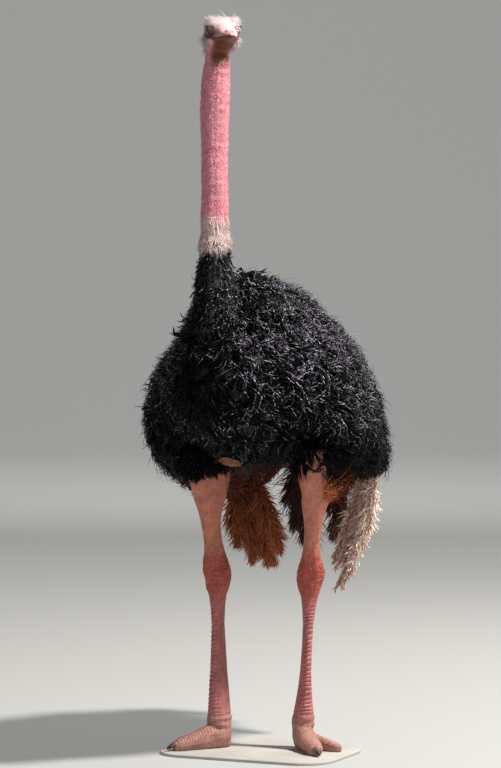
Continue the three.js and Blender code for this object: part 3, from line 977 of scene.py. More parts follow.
def glint_share(root, out):
    """Share of barbs with silver tips, painted glints: more on the upward-facing back and the flanks, where
    the lamp falls, few on the breast and low down, where shade falls.
    """
    front = soft_step(-out[:, 1], 0.6, 0.95)
    low = 1 - soft_step(root[:, 2], 0.93, 1.12)
    back = soft_step(out[:, 2], 0.1, 0.7)
    return np.clip((0.75 + 0.25 * back) * (1 - 0.85 * front) * (1 - 0.8 * low), 0, 1)


def plume_tones(root, out, shade, along):
    """Black with silver tips as painted glints, brown at the hem, cinnamon on the inside of a wing."""
    colour = blend_tones(PLUME_BLACK, PLUME_GREY, soft_step(shade, 0.3, 1.0))
    inward = np.sign(TRUNK_MIDDLE[0] - root[:, 0]) * out[:, 0]
    under = soft_step(inward, -0.15, 0.35) * (1 - soft_step(root[:, 2], 0.86, 0.96))
    under *= soft_step(root[:, 1], -0.22, -0.1)
    colour = blend_tones(colour, CINNAMON, under * 0.75)
    hem = (1 - soft_step(root[:, 2], 0.82, 0.92)) * (1 - under)
    colour = blend_tones(colour, HEM_BROWN, hem * 0.5)
    # Tips are painted lighter and some turn silver: painted glints, where light catches the barbs.
    tips = soft_step(along, 0.2, 0.9)[None, :, None]
    share = glint_share(root, out)
    glinting = soft_step(shade, 1.0 - 0.9 * share, 1.06 - 0.6 * share)[:, None, None]
    base = colour[:, None, :] * (1 + 0.4 * tips)
    return base * (1 - glinting * tips) + PLUME_GLINT * glinting * tips


# %% Clumps of locks
CLUMP_SPREAD = 0.008
UNDER_SHARE = 0.4
BARB_THICK = 0.0014


def clumps(root, out, lie, per_clump, seed):
    """Each root becomes a clump: several locks with a shared lean and their own differences.

    The first few of a clump, by UNDER_SHARE, are broad and dark and lie flatter, so that no skin
    shows under the fine ones.
    """
    draw = np.random.default_rng(seed)
    count = len(root)
    turn = draw.normal(0, 0.5, count)
    across = np.cross(lie, out)
    lie = lie * np.cos(turn)[:, None] + across * np.sin(turn)[:, None]
    lift = draw.normal(0.0, 0.16, count)
    curl = draw.normal(0.0, 0.3, count)
    sway = draw.normal(0.0, 0.9, count)
    grow = draw.uniform(0.8, 1.18, count)
    shade = draw.random(count)
    again = np.repeat(np.arange(count), per_clump)
    n = len(again)
    shift = draw.normal(0, CLUMP_SPREAD, (n, 3))
    shift -= out[again] * (shift * out[again]).sum(1)[:, None]
    fan = draw.normal(0, 0.42, n)
    under = np.arange(n) % per_clump < UNDER_SHARE * per_clump
    across = np.cross(lie[again], out[again])
    return {
        "again": again,
        "root": root[again] + shift,
        "out": out[again],
        "lie": lie[again] * np.cos(fan)[:, None] + across * np.sin(fan)[:, None],
        "lift": lift[again] + draw.normal(0, 0.13, n) - 0.35 * under,
        "curl": curl[again] + draw.normal(0, 0.3, n),
        "sway": sway[again] + draw.normal(0, 0.9, n),
        "grow": grow[again] * draw.uniform(0.72, 1.12, n),
        "wide": draw.uniform(0.7, 1.3, n) * np.where(under, 2.5, 1.0),
        # Under locks get a low shade value, so they stay black and carry no painted glints.
        "shade": np.clip(0.35 * shade[again] + 0.65 * draw.random(n), 0, 1) * np.where(under, 0.3, 1.0),
    }


def coat_piece(name, roots, outs, size, wide, lift, curl, sag, per_clump, seed, steps=4):
    """One region of the coat. size, lift, curl and sag are one value, or one for each root."""
    lie = lie_along(outs, coat_flow(roots))
    c = clumps(roots, outs, lie, per_clump, seed)
    of = c["again"]
    size, lift, curl, sag = (np.broadcast_to(v, len(roots)) for v in (size, lift, curl, sag))
    made = locks(
        c["root"],
        c["out"],
        c["lie"],
        size[of] * c["grow"],
        wide * c["wide"],
        BARB_THICK,
        lift[of] + c["lift"],
        curl[of] + c["curl"],
        c["sway"],
        steps=steps,
        sag=sag[of],
    )
    colours = plume_tones(c["root"], c["out"], c["shade"], made["along"])
    piece = add_object(name, lock_mesh(name, made, colours, egg_map(roots)[of]))
    finished(name, piece, black_plume)


# %% [markdown]
# A black plume isn't one black: its barbs are glossy threads, so where the lamp catches their
# edges they flash silver. Here that flash is painted: fine bright flecks in the colour, painted
# glints, with a roughness that varies and a small bump, give that sparkle, and the shaded side
# stays truly black.


# %% Plume finishes
def plume_finish(name, fine, dimmest, brightest, roughness, specular):
    """Barbs: the painted tone broken up into fine dark and bright flecks; on the black plumes the bright
    ones are painted glints.
    """
    made, tree, shader = finish(name, roughness, specular)
    where = place(tree)
    flecks_and_glints = spread(tree, grain(tree, where, fine, 2, 0.7), 0.46, 0.68, dimmest, brightest)
    tree.links.new(mixed(tree, painted(tree), flecks_and_glints, 1.0, "MULTIPLY"), shader.inputs["Base Color"])
    gloss = spread(tree, grain(tree, where, 150), 0.3, 0.7, roughness - 0.12, roughness + 0.2)
    tree.links.new(gloss, shader.inputs["Roughness"])
    bumped(tree, shader, grain(tree, where, 420, 3), 0.0014, 0.9)
    return made


# Its bright flecks, up to 5.4 times the painted tone, are painted glints.
black_plume = plume_finish("black_plume", 150, 0.03, 5.4, 0.42, 0.05)

# %% [markdown]
# The clumps need roots. They are spread over the trunk's skin, closer together on the belly, and
# taken away again round the callus and inside the thighs, where no plume could grow.


# %% Roots of the coat
PAD_CLEAR, LEG_CLEAR = 0.047, 0.004
BODY_CLUMPS, BELLY_CLUMPS = 3400, 330


def away_from_pad(points):
    return np.linalg.norm(points - PAD_MIDDLE, axis=1) > PAD_CLEAR


def clear_of_legs(points, margin):
    """True where a point is outside both legs by a margin."""
    clear = np.ones(len(points), bool)
    low = np.where(points[:, 2] < 1.05)[0]
    for tree in leg_trees.values():
        for i in low:
            spot, normal, _, away = tree.find_nearest(Vector(points[i]), 0.2)
            if spot is not None and (away < margin or (Vector(points[i]) - spot).dot(normal) < 0):
                clear[i] = False
    return clear


NECK_FOOT = np.array([0.016, -0.468])


def on_body(points):
    """The trunk and wings without the neck."""
    from_neck = np.linalg.norm(points[:, :2] - NECK_FOOT, axis=1)
    return ~((points[:, 2] > 1.4) & (from_neck < 0.125))


def on_belly(points):
    """The underside between and behind the legs."""
    return (points[:, 2] < 0.95) & (np.abs(points[:, 0] - TRUNK_MIDDLE[0]) < 0.26)


trunk_roots, trunk_outs = scatter(roots_from["trunk"], BODY_CLUMPS, 71, on_body)
belly_roots, belly_outs = scatter(roots_from["trunk"], BELLY_CLUMPS, 70, on_belly)
trunk_roots = np.vstack([trunk_roots, belly_roots])
trunk_outs = np.vstack([trunk_outs, belly_outs])
kept = clear_of_legs(trunk_roots, LEG_CLEAR) & away_from_pad(trunk_roots)
trunk_roots, trunk_outs = trunk_roots[kept], trunk_outs[kept]
print("clumps on the body", len(trunk_roots))

# %% Coat of the body
BODY_LOCK = 0.075
facing_down = soft_step(-trunk_outs[:, 2], 0.2, 0.7)
tufted = 1 + 0.2 * waves(trunk_roots, 0.075, 62)
side_of = trunk_roots[:, 0] - TRUNK_MIDDLE[0]
belly = (1 - soft_step(trunk_roots[:, 2], 0.9, 0.97)) * (1 - soft_step(np.abs(side_of), 0.16, 0.24))
by_pad = 1 - soft_step(np.linalg.norm(trunk_roots - PAD_MIDDLE, axis=1), 0.05, 0.13)
size = BODY_LOCK * (1 - 0.2 * facing_down - 0.4 * belly) * (1 - 0.45 * by_pad) * tufted
lift = 1.02 - 0.3 * facing_down + 0.12 * waves(trunk_roots, 0.05, 63)
curl = -0.85 + 0.2 * waves(trunk_roots, 0.06, 64)
sag = 0.03 + 0.3 * facing_down
behind = trunk_roots[:, 1] >= -0.28
rear = trunk_roots[:, 1] >= 0.16
REGIONS = {
    "coat_breast": ~behind,
    "coat_left": behind & ~rear & (side_of > 0),
    "coat_right": behind & ~rear & (side_of <= 0),
    "coat_rump": rear,
}
for number, (name, part) in enumerate(REGIONS.items()):
    roots, outs = trunk_roots[part], trunk_outs[part]
    coat_piece(name, roots, outs, size[part], 0.0037, lift[part], curl[part], sag[part], 7, 80 + number)

# %% [markdown]
# On the base of the neck the plumes are short and lie close, longer towards the breast, and they
# end under the white ring.


# %% Coat of the neck base
NECK_CLUMPS = 1180


def on_neck_base(points):
    return (points[:, 2] > 1.16) & (points[:, 2] < COLLAR_LOW + 0.012)


neck_roots, neck_outs = scatter(roots_from["neck"], NECK_CLUMPS, 72, on_neck_base)
size = 0.034 + 0.026 * (1 - soft_step(neck_roots[:, 2], 1.38, 1.52))
coat_piece("coat_neck", neck_roots, neck_outs, size, 0.0036, 0.45, -0.2, 0, 6, 90, 3)

# %% [markdown]
# The plumes also hang over the tops of the thighs. On the left leg the front of the thigh shows
# higher, as a pointed arch, and the tufts hang lower behind it.


# %% Coat over the thighs
THIGH_CLUMPS = 280


def thigh_cover(points):
    """Where the thighs carry plumes, and how densely."""
    behind_arch = (points[:, 0] > 0) & (right_of_hock(points, "left") > 0.035)
    return (points[:, 2] > thigh_edge(points)) * (1.0 + 1.5 * behind_arch)


coat_roots = [trunk_roots, neck_roots]
for side in SIDES:
    roots, outs = scatter(roots_from[f"leg_{side}"], THIGH_CLUMPS, 73, thigh_cover)
    coat_roots.append(roots)
    coat_piece(f"coat_thigh_{side}", roots, outs, 0.06, 0.004, 0.55, -0.3, 0.4, 6, 92)

# %% [markdown]
# The coat must not show bald spots where the roots of the neck, the body and the thighs don't
# quite meet. So the skin is searched for places painted black as shade with no root near, and extra
# clumps go there.

# %% Clumps on bald spots
BALD_GAP = 0.019
FILL_CLUMPS = 420
coat_roots = np.vstack(coat_roots)
root_tree = KDTree(len(coat_roots))
for number, root in enumerate(coat_roots):
    root_tree.insert(root, number)
root_tree.balance()
# Faces of the skin painted black, the painted shade under the plumes.
shade_black_faces = skin_colours[corners_of(skin.data)].max(axis=(1, 2)) < 0.01


def bald_spots(points):
    far = np.array([root_tree.find(p)[2] > BALD_GAP for p in points])
    return far * shade_black_faces * away_from_pad(points)


roots, outs = scatter(skin.data, FILL_CLUMPS, 78, bald_spots)
coat_piece("coat_fill", roots, outs, 0.05, 0.0042, 0.5, -0.3, 0.1, 7, 93)

# %% [markdown]
# Where the left thigh meets the flank, a fringe of rusty down shows under the black tufts. It
# sweeps back and up from the rear edge of the thigh.


# %% Rusty down of the left flank
DOWN_CLUMPS = 150
FLANK_LOW, FLANK_HIGH = 0.812, 0.87
RUST_DARK, RUST_LIGHT = chip("a8481f"), chip("e58a50")


def flank_area(points):
    in_height = (points[:, 2] > FLANK_LOW) & (points[:, 2] < FLANK_HIGH)
    return in_height & (right_of_hock(points, "left") > 0.028)


roots, outs = scatter(roots_from["leg_left"], DOWN_CLUMPS, 74, flank_area)
flow = np.tile(TO_RIGHT + np.array([0, 0, 0.62]), (len(roots), 1))
c = clumps(roots, outs, lie_along(outs, flow), 7, 95)
made = locks(
    c["root"],
    c["out"],
    c["lie"],
    0.066 * c["grow"],
    0.0022 * c["wide"],
    0.0009,
    0.3 + c["lift"],
    -0.2 + 0.4 * c["curl"],
    0.2 * c["sway"],
)
rust = blend_tones(RUST_DARK, RUST_LIGHT, c["shade"])
colours = np.repeat(rust[:, None, :], len(made["along"]), 1)
atlas = egg_map(roots)[c["again"]]
down = add_object("down_flank", lock_mesh("down_flank", made, colours, atlas))
soft_plume = plume_finish("soft_plume", 260, 0.7, 1.8, 0.6, 0.3)
finished("down_flank", down, soft_plume)

# %% [markdown]
# ## White ring, neck bristles and the hair of the head
#
# A ring of long white hair parts the black plumes from the bare neck. Above it the skin carries
# short pale bristles, and the head is fringed with fine white hair: dense on the crown, standing
# out at the brows and cheeks, and missing on the lids and the bill. All are locks again, only
# much finer.


# %% Hair
def hair_piece(name, count, seed, keep, look, tones, steps=3):
    """Hairs on the neck's skin where keep says, each with the look and colour of its place."""
    roots, outs = scatter(roots_from["neck"], count, seed, keep)
    draw = np.random.default_rng(seed + 1)
    n = len(roots)
    flow, length, wide, lift, curl = look(roots, outs)
    lie = lie_along(outs, flow + draw.normal(0, 0.28, (n, 3)))
    made = locks(
        roots,
        outs,
        lie,
        length * draw.uniform(0.65, 1.2, n),
        wide * draw.uniform(0.7, 1.3, n),
        wide * 0.6,
        lift + draw.normal(0, 0.18, n),
        curl + draw.normal(0, 0.3, n),
        draw.normal(0, 0.4, n),
        steps=steps,
        sink=0.0015,
    )
    colours = np.repeat(tones(roots, draw)[:, None, :], len(made["along"]), 1)
    return add_object(name, lock_mesh(name, made, colours, neck_map(roots)))


def hair_finish():
    made, tree, shader = finish("white_hair", 0.55, 0.35)
    strands = grain(tree, place(tree, (1, 1, 0.3)), 260, 3)
    shaded = spread(tree, strands, 0.4, 0.65, 0, 0.7)
    tone = mixed(tree, painted(tree), (0.8, 0.74, 0.72), shaded, "MULTIPLY")
    tree.links.new(tone, shader.inputs["Base Color"])
    tree.links.new(spread(tree, strands, 0.3, 0.7, 0.4, 0.7), shader.inputs["Roughness"])
    return made


white_hair = hair_finish()


def ring_look(roots, outs):
    """The flow, length, width, lift and curl of the ring's hair: longer at the front, as a bib."""
    bib = soft_step(outs @ np.array(TOWARD), 0.3, 0.95)
    return DOWN, 0.03 + 0.018 * bib, 0.0016, 0.16, -0.1


def ring_tones(roots, draw):
    streak = soft_step(waves(roots * [1, 1, 0.15], 0.012, 51), 0.3, 1.2) * 0.6
    return blend_tones(TONES["ring"], TONES["neck_deep"], streak) * draw.uniform(0.85, 1.1, (len(roots), 1))


def ring_area(points):
    fade = 1 - soft_step(points[:, 2], COLLAR_HIGH - 0.06, COLLAR_HIGH + 0.02)
    return fade * (points[:, 2] > COLLAR_LOW + 0.014)


RING_HAIRS, BRISTLES, HEAD_HAIRS = 3200, 5200, 3900
piece = hair_piece("hair_ring", RING_HAIRS, 75, ring_area, ring_look, ring_tones)
finished("hair_ring", piece, white_hair)


# %% Neck bristles
def bristle_look(roots, outs):
    return DOWN, 0.0095, 0.0014, 0.85, 0.2


def bristle_tones(roots, draw):
    return blend_tones(TONES["neck"], TONES["crown"], draw.uniform(0.35, 1.15, len(roots)))


def bristle_area(points):
    return (points[:, 2] > COLLAR_HIGH - 0.03) & (points[:, 2] < 2.2)


piece = hair_piece("hair_neck", BRISTLES, 76, bristle_area, bristle_look, bristle_tones, 2)
finished("hair_neck", piece, white_hair)


# %% [markdown]
# The hair of the head grows by rules too. It keeps off the lids, the forehead before the eyes, the
# jaw and the bill, is densest on the crown, and is longest at the brows and cheeks.


# %% Hair of the head
def lid_distance(points):
    """1 at the edge of the lids and more outside them."""
    forward, left, up = in_face(points)
    return np.hypot(forward / LID_LONG, (up - 0.06 * forward) / LID_HIGH) + 9 * (np.abs(left) < 26)


def head_area(points):
    forward, left, up = in_face(points)
    area = (points[:, 2] > 2.17) & (lid_distance(points) > 1.3) & (forward < 78)
    bald = soft_step(forward, -8, 8) * (1 - soft_step(up + 0.25 * forward, -2, 9))
    crown = 1 + 1.4 * soft_step(up, 5, 25)
    throat = soft_step(up, -66, -40)
    jaw = soft_step(forward, -40, -20) * (1 - soft_step(up, -40, -28))
    jaw *= 1 - soft_step(np.abs(left), 26, 40)
    return area * (1 - bald) * crown * throat * (1 - jaw)


def head_look(roots, outs):
    forward, left, up = in_face(roots)
    side = np.sign(left)[:, None] * soft_step(np.abs(left), 8, 35)[:, None]
    brow = np.exp(-(((up - 24) / 13) ** 2) - ((forward - 5) / 40) ** 2) * soft_step(np.abs(left), 12, 32)
    cheek = (1 - soft_step(up, -18, 4)) * (1 - soft_step(forward, 5, 40))
    flow = -FACE_FORWARD + FACE_LEFT * side * 0.9 + DOWN * (1.1 * cheek - 1.6 * brow)[:, None]
    length = 0.011 + 0.025 * brow + 0.018 * cheek - 0.004 * soft_step(forward, 20, 60)
    return flow, length, 0.0012, 0.55 + 0.45 * brow + 0.4 * cheek, 0.15


def head_tones(roots, draw):
    return TONES["crown"] * draw.uniform(0.85, 1.08, (len(roots), 1))


piece = hair_piece("hair_head", HEAD_HAIRS, 77, head_area, head_look, head_tones)
finished("hair_head", piece, white_hair)


# %% [markdown]
# A few hairs at the very top have grown long and stand up in a wisp, and each upper lid carries a
# fan of dark lashes.


# %% Wisp and lashes
def hairs_at(name, roots, outs, flow, length, wide, lift, curl, tone):
    """A few single hairs at given places."""
    lie = lie_along(outs, flow)
    made = locks(roots, outs, lie, length, wide, wide * 0.8, lift, curl, 0.0, steps=6, sink=0.001)
    colours = np.tile(tone, (len(roots), len(made["along"]), 1))
    piece = add_object(name, lock_mesh(name, made, colours, neck_map(roots)))
    finished(name, piece, white_hair)


head_tree = search_tree(roots_from["neck"])


def on_head(forward, left, up):
    """The nearest place on the skin of the head to a point given in face millimetres."""
    spots, normals = [], []
    for place_at in from_face(forward, left, up):
        spot, normal, _, _ = head_tree.find_nearest(Vector(place_at))
        spots.append(spot[:])
        normals.append(normal[:])
    return np.array(spots), np.array(normals)


draw = np.random.default_rng(78)
WISPS = 9
spots, normals = on_head(draw.uniform(-6, 22, WISPS), draw.uniform(-14, 16, WISPS), np.full(WISPS, 60))
lengths = draw.uniform(0.016, 0.026, WISPS)
lengths[0] = 0.05
flow = np.tile(-TO_RIGHT, (WISPS, 1)) + draw.normal(0, 0.3, (WISPS, 3))
flow[0] = -TO_RIGHT
hairs_at("hair_wisp", spots, normals, flow, lengths, 0.0018, 1.15, 0.5, TONES["crown"])
LASHES = 15
LASH_DARK = chip("1a1210")
for side, sign in zip(SIDES, (1, -1)):
    sweep = np.linspace(-0.85, 0.95, LASHES)
    upper_lid = LID_HIGH * (1.15 - 0.5 * sweep**2)
    spots, normals = on_head(sweep * LID_LONG, sign * np.full(LASHES, 60.0), upper_lid)
    flow = -FACE_UP * 0.2 + FACE_FORWARD * sweep[:, None]
    hairs_at(f"lashes_{side}", spots, normals, flow, 0.013, 0.0011, 0.9, 0.9, LASH_DARK)

# %% [markdown]
# ## Eyes
#
# Each eye is a ball turned on its own axis like a bowl on a lathe, so the edges of the pupil and
# the iris are exact rings. A clear wet coat over a dark iris gives the glance.

# %% Eyeballs
PUPIL, IRIS = 15, 37
PUPIL_RIM, IRIS_RIM = PUPIL + 1.5, IRIS + 4
EYE_TONES = {
    0: chip("050303"),
    PUPIL: chip("0a0504"),
    PUPIL_RIM: chip("3a1f12"),
    IRIS - 5: chip("4a2a18"),
    IRIS: chip("140a07"),
    IRIS_RIM: chip("2a1512"),
    180: chip("3a2220"),
}
EYE_SIDES = 40


def eye_tones(angles):
    """The eye's colour at each angle from the middle of the pupil, in degrees."""
    places, tones = list(EYE_TONES), np.array(list(EYE_TONES.values()))
    return np.stack([np.interp(angles, places, tones[:, k]) for k in range(3)], 1)


def eyeball(side, sign):
    """A ball turned in rings round the axis of the glance, the cornea slightly bulging."""
    centre = middle_of(f"eye_{side}")
    axis = FACE_LEFT * sign
    first, second = FACE_UP, np.cross(axis, FACE_UP)
    front, back = np.linspace(0, 50, 21), np.linspace(60, 180, 13)
    angles = np.unique(np.concatenate([front, [PUPIL, PUPIL_RIM, IRIS, IRIS_RIM], back]))
    turns = np.linspace(0, 2 * math.pi, EYE_SIDES, endpoint=False)
    bulge = 1 + 0.035 * (1 - soft_step(angles, 20, IRIS + 8))
    rings = []
    for angle, out in zip(np.radians(angles[1:-1]), bulge[1:-1]):
        ring = first * np.cos(turns)[:, None] + second * np.sin(turns)[:, None]
        rings.append((axis * math.cos(angle) + ring * math.sin(angle)) * out)
    ends = [axis * bulge[0], -axis]
    points = np.vstack(rings + ends) * EYE_RADIUS / 1000 + centre
    count, last = EYE_SIDES, len(rings) * EYE_SIDES
    faces = []
    for k in range(len(rings) - 1):
        for i in range(count):
            a, b = k * count + i, k * count + (i + 1) % count
            faces += [(a, a + count, b), (b, a + count, b + count)]
    for i in range(count):
        j = (i + 1) % count
        faces += [(last, i, j), (last + 1, last - count + j, last - count + i)]
    tones = eye_tones(angles)
    colours = np.vstack([np.repeat(tones[1:-1], count, 0), tones[:1], tones[-1:]])
    mesh = mesh_from(f"eyeball_{side}", points, np.array(faces))
    paint(mesh, colours)
    return add_object(f"eyeball_{side}", mesh)


# %% Wet finish of the eyes
def eye_finish():
    made, tree, shader = finish("wet_eye", 0.12, 0.6, coat=1.0)
    shader.inputs["Coat Roughness"].default_value = 0.03
    streaks = spread(tree, grain(tree, place(tree), 900, 2), 0.4, 0.7, 0, 0.6)
    tone = mixed(tree, painted(tree), (0.5, 0.42, 0.36), streaks, "MULTIPLY")
    tree.links.new(tone, shader.inputs["Base Color"])
    return made


wet_eye = eye_finish()
for side, sign in zip(SIDES, (1, -1)):
    finished(f"eyeball_{side}", eyeball(side, sign), wet_eye, [f"eye_{side}"])

# %% [markdown]
# ## Bill
#
# Two flat, broad halves of horn, soft-edged like a duck's but ending in a rounded nail. Each half
# is a loft through cross-sections from the face to the tip. The nostrils, the ridge along the top
# and the nail are pushes and pulls of its surface.

# %% Bill rows and colours
# Each row, in millimetres from midway between the eyes: forward, half the width, top and bottom.
BILL_ROWS = np.array([
    [36, 40, 21, -41],
    [46, 37, 15, -40],
    [60, 33.5, 7, -39],
    [85, 28, -5, -37.5],
    [105, 20.5, -12, -35.5],
    [119, 11.5, -18, -33],
    [127, 3, -24, -29],
])
BILL_STEPS, BILL_SIDES = 70, 48
NOSTRIL_AT, NOSTRIL_SIDE = 99, 9.5
NOSTRIL_DEEP = 3.2
SOFTEN_OVER = 7
ROUNDED_END = 0.8


def nostril_share(forward, left, long, wide):
    """1 in the middle of each nostril and less further off."""
    return np.exp(-(((forward - NOSTRIL_AT) / long) ** 2) - ((np.abs(left) - NOSTRIL_SIDE) / wide) ** 2)


def bill_tones(upper, forward, left, up, wide):
    """Pale pink above, brown below, with painted shadow along the gape under the upper bill, and nostrils
    painted dark as shade.
    """
    base = chip("d5b0b2") if upper else chip("63351b")
    tip = chip("c58d8c") if upper else chip("6b3d24")
    tone = blend_tones(base, tip, soft_step(forward, 70, 122))
    if upper:
        flank = soft_step(np.abs(left) / wide, 0.5, 0.8) * (1 - soft_step(forward, 70, 92))
        tone = blend_tones(tone, chip("7a3540"), flank * 0.5)
        tone = blend_tones(tone, TONES["lid"], lid_share(forward, left, up))
    # A dark line along the gape: the shadow of the upper bill's overhang, painted.
    gape_shadow = np.exp(-(((up - GAPE_LEVEL) / 2.2) ** 2)) * soft_step(np.abs(left), wide * 0.55, wide * 0.8)
    tone = blend_tones(tone, chip("4a1d16"), gape_shadow * 0.9)
    # The nostrils are painted near black: painted shade in their openings.
    nostril = nostril_share(forward, left, 8, 3.8) * upper
    return blend_tones(tone, chip("1c0b0a"), np.clip(nostril * 1.6, 0, 1))


# %% Bill shape
def bill_half(name, upper):
    """One half of the bill, lofted from the face to the tip, flat where it meets the other."""
    stations = np.linspace(BILL_ROWS[0, 0], BILL_ROWS[-1, 0], BILL_STEPS)
    wide, top, low = (np.interp(stations, BILL_ROWS[:, 0], BILL_ROWS[:, k]) for k in (1, 2, 3))
    soften = np.ones(SOFTEN_OVER) / SOFTEN_OVER
    ends = SOFTEN_OVER // 2
    wide, top, low = (np.convolve(np.pad(v, ends, "edge"), soften, "valid") for v in (wide, top, low))
    from_tip = stations[-1] + ROUNDED_END - stations
    wide *= np.sqrt(np.clip(from_tip / 5, 0.02, 1))
    angles = np.linspace(0, 2 * math.pi, BILL_SIDES, endpoint=False)
    c, s = np.cos(angles), np.sin(angles)
    level = GAPE_LEVEL + 0.024 * (stations - 44)
    reach = np.where(s > 0, np.abs(s) ** 0.85, 0.12 * np.abs(s))
    height = (top - level) if upper else (level - low)
    height = height * np.sqrt(np.clip(from_tip / 4, 0.02, 1))
    left = wide[:, None] * np.sign(c) * np.abs(c) ** 0.8
    rise = height[:, None] * reach[None] * np.where(s > 0, 1, -0.35)
    forward = np.repeat(stations[:, None], BILL_SIDES, 1)
    out_share = np.abs(left) / wide[:, None]
    ridge = np.exp(-((left / 4) ** 2)) * 1.4 * (s > 0) * upper
    trough = np.exp(-(((out_share - 0.45) / 0.14) ** 2)) * 0.9 * (s > 0)
    nostril = nostril_share(forward, left, 4.5, 2.6) * NOSTRIL_DEEP * (s > 0) * upper
    nail = soft_step(forward, 98, 104) * (1 - soft_step(out_share, 0.5, 0.75)) * 1.1 * (s > 0)
    out = ridge - trough * soft_step(forward, 50, 60) * (1 - soft_step(forward, 96, 104)) - nostril + nail
    sign = 1 if upper else -1
    up = level[:, None] + sign * (0.55 + rise + out)
    points = from_face(forward.ravel(), left.ravel(), up.ravel())
    hubs = from_face(stations[[0, -1]], [0, 0], up[[0, -1]].mean(1))
    faces = []
    for k in range(BILL_STEPS - 1):
        for i in range(BILL_SIDES):
            a, b = k * BILL_SIDES + i, k * BILL_SIDES + (i + 1) % BILL_SIDES
            faces += [(a, b, a + BILL_SIDES), (b, b + BILL_SIDES, a + BILL_SIDES)]
    last, hub = (BILL_STEPS - 1) * BILL_SIDES, BILL_STEPS * BILL_SIDES
    for i in range(BILL_SIDES):
        j = (i + 1) % BILL_SIDES
        faces += [(hub, j, i), (hub + 1, last + i, last + j)]
    faces = np.array(faces) if upper else np.array(faces)[:, ::-1]
    colours = bill_tones(upper, forward, left, up, wide[:, None]).reshape(-1, 3)
    mesh = mesh_from(name, np.vstack([points, hubs]), faces)
    paint(mesh, np.vstack([colours, colours[:1], colours[-1:]]))
    return add_object(name, mesh)


# %% Horn finish
def horn_finish(name, roughness):
    made, tree, shader = finish(name, roughness, 0.5)
    fibres = grain(tree, place(tree), 240, 4)
    shaded = spread(tree, fibres, 0.4, 0.7, 0, 0.8)
    tone = mixed(tree, painted(tree), (0.7, 0.6, 0.55), shaded, "MULTIPLY")
    tree.links.new(tone, shader.inputs["Base Color"])
    gloss = spread(tree, fibres, 0.3, 0.7, roughness - 0.1, roughness + 0.15)
    tree.links.new(gloss, shader.inputs["Roughness"])
    bumped(tree, shader, fibres, 0.0008, 0.6)
    return made


horn = horn_finish("bill_horn", 0.4)
finished("bill_top", bill_half("bill_top", True), horn, ["bill_upper"])
finished("bill_bottom", bill_half("bill_bottom", False), horn, ["bill_lower"])

# %% [markdown]
# ## Claws, breast callus and base
#
# The claws, the callus and the base keep the shapes of their solids. A subdivision rounds the
# facets of the first two, and some unevenness takes the machine look away.


# %% Claws and callus
def rounded_from(node, name, bumps, size):
    """A solid's shape with its facets rounded and low bumps of the given height and size."""
    made = add_object(name, mesh_from(name, *welded(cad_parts[node].data)))
    smooth = made.modifiers.new("smooth", "SUBSURF")
    smooth.levels = 2
    applied(made)
    mesh = made.data
    points, normals = points_of(mesh), normals_of(mesh)
    set_points(mesh, points + normals * (bumps * waves(points, size, 61))[:, None])
    return made


claw_horn = horn_finish("claw_horn", 0.45)
for side in SIDES:
    claw = rounded_from(f"claw_{side}", f"nail_{side}", 0.0003, 0.008)
    length = (points_of(claw.data) - LEG_FRAMES[side]["claw"]) @ LEG_FRAMES[side]["heading"]
    paint(claw.data, blend_tones(chip("8a6a5c"), chip("3a2b26"), soft_step(length, -0.015, 0.015)))
    finished(f"nail_{side}", claw, claw_horn, [f"claw_{side}"])


def callus_finish():
    made, tree, shader = finish("callus_skin", 0.75, 0.3)
    where = place(tree)
    cracks = spread(tree, cells(tree, where, 110, "DISTANCE_TO_EDGE"), 0.0, 0.08, 0, 1)
    clouds = spread(tree, grain(tree, where, 45, 4), 0.35, 0.65)
    # The callus's own leathery brown, darkened as painted shade for its place under the breast plumes.
    tone = mixed(tree, chip("4a2a16"), chip("96683c"), clouds)
    tone = mixed(tree, chip("2e1a0f"), tone, cracks)
    tree.links.new(tone, shader.inputs["Base Color"])
    bumped(tree, shader, cracks, 0.0012, 0.9)
    bumped(tree, shader, grain(tree, where, 200, 4), 0.0012, 0.6)
    return made


callus = rounded_from("breast_pad", "callus", 0.0012, 0.02)
finished("callus", callus, callus_finish(), ["breast_pad"])


# %% [markdown]
# The base is a thin board with a coat of pale paint. Paint is a little cloudy, holds a few dark
# specks and has the fine tooth of the brush or roller, and noise at three scales gives all of that.


# %% Base
def base_finish():
    made, tree, shader = finish("painted_board", 0.6, 0.35)
    where = place(tree)
    cloud = spread(tree, grain(tree, where, 5, 4), 0.35, 0.65)
    tone = mixed(tree, (0.40, 0.385, 0.355), (0.46, 0.445, 0.42), cloud)
    fleck = spread(tree, grain(tree, where, 420, 2), 0.62, 0.75, 0, 0.5)
    tree.links.new(mixed(tree, tone, (0.2, 0.19, 0.17), fleck), shader.inputs["Base Color"])
    tree.links.new(spread(tree, cloud, 0, 1, 0.5, 0.7), shader.inputs["Roughness"])
    bumped(tree, shader, grain(tree, where, 500, 3), 0.0005, 0.5)
    return made


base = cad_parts["stand_base"]
base.data.materials.clear()
base.data.materials.append(base_finish())

# %% [markdown]
# ## Wing and tail plumes
#
# The great plumes of the wings and tail have a curved shaft with long soft barbs on both sides.
# The barbs leave the shaft at a slant, droop and part into strands. Here the shaft is a thin
# tapered tube and each barb is a lock. Several plumes on nearly the same path make the loose
# bundle that a still bird carries.

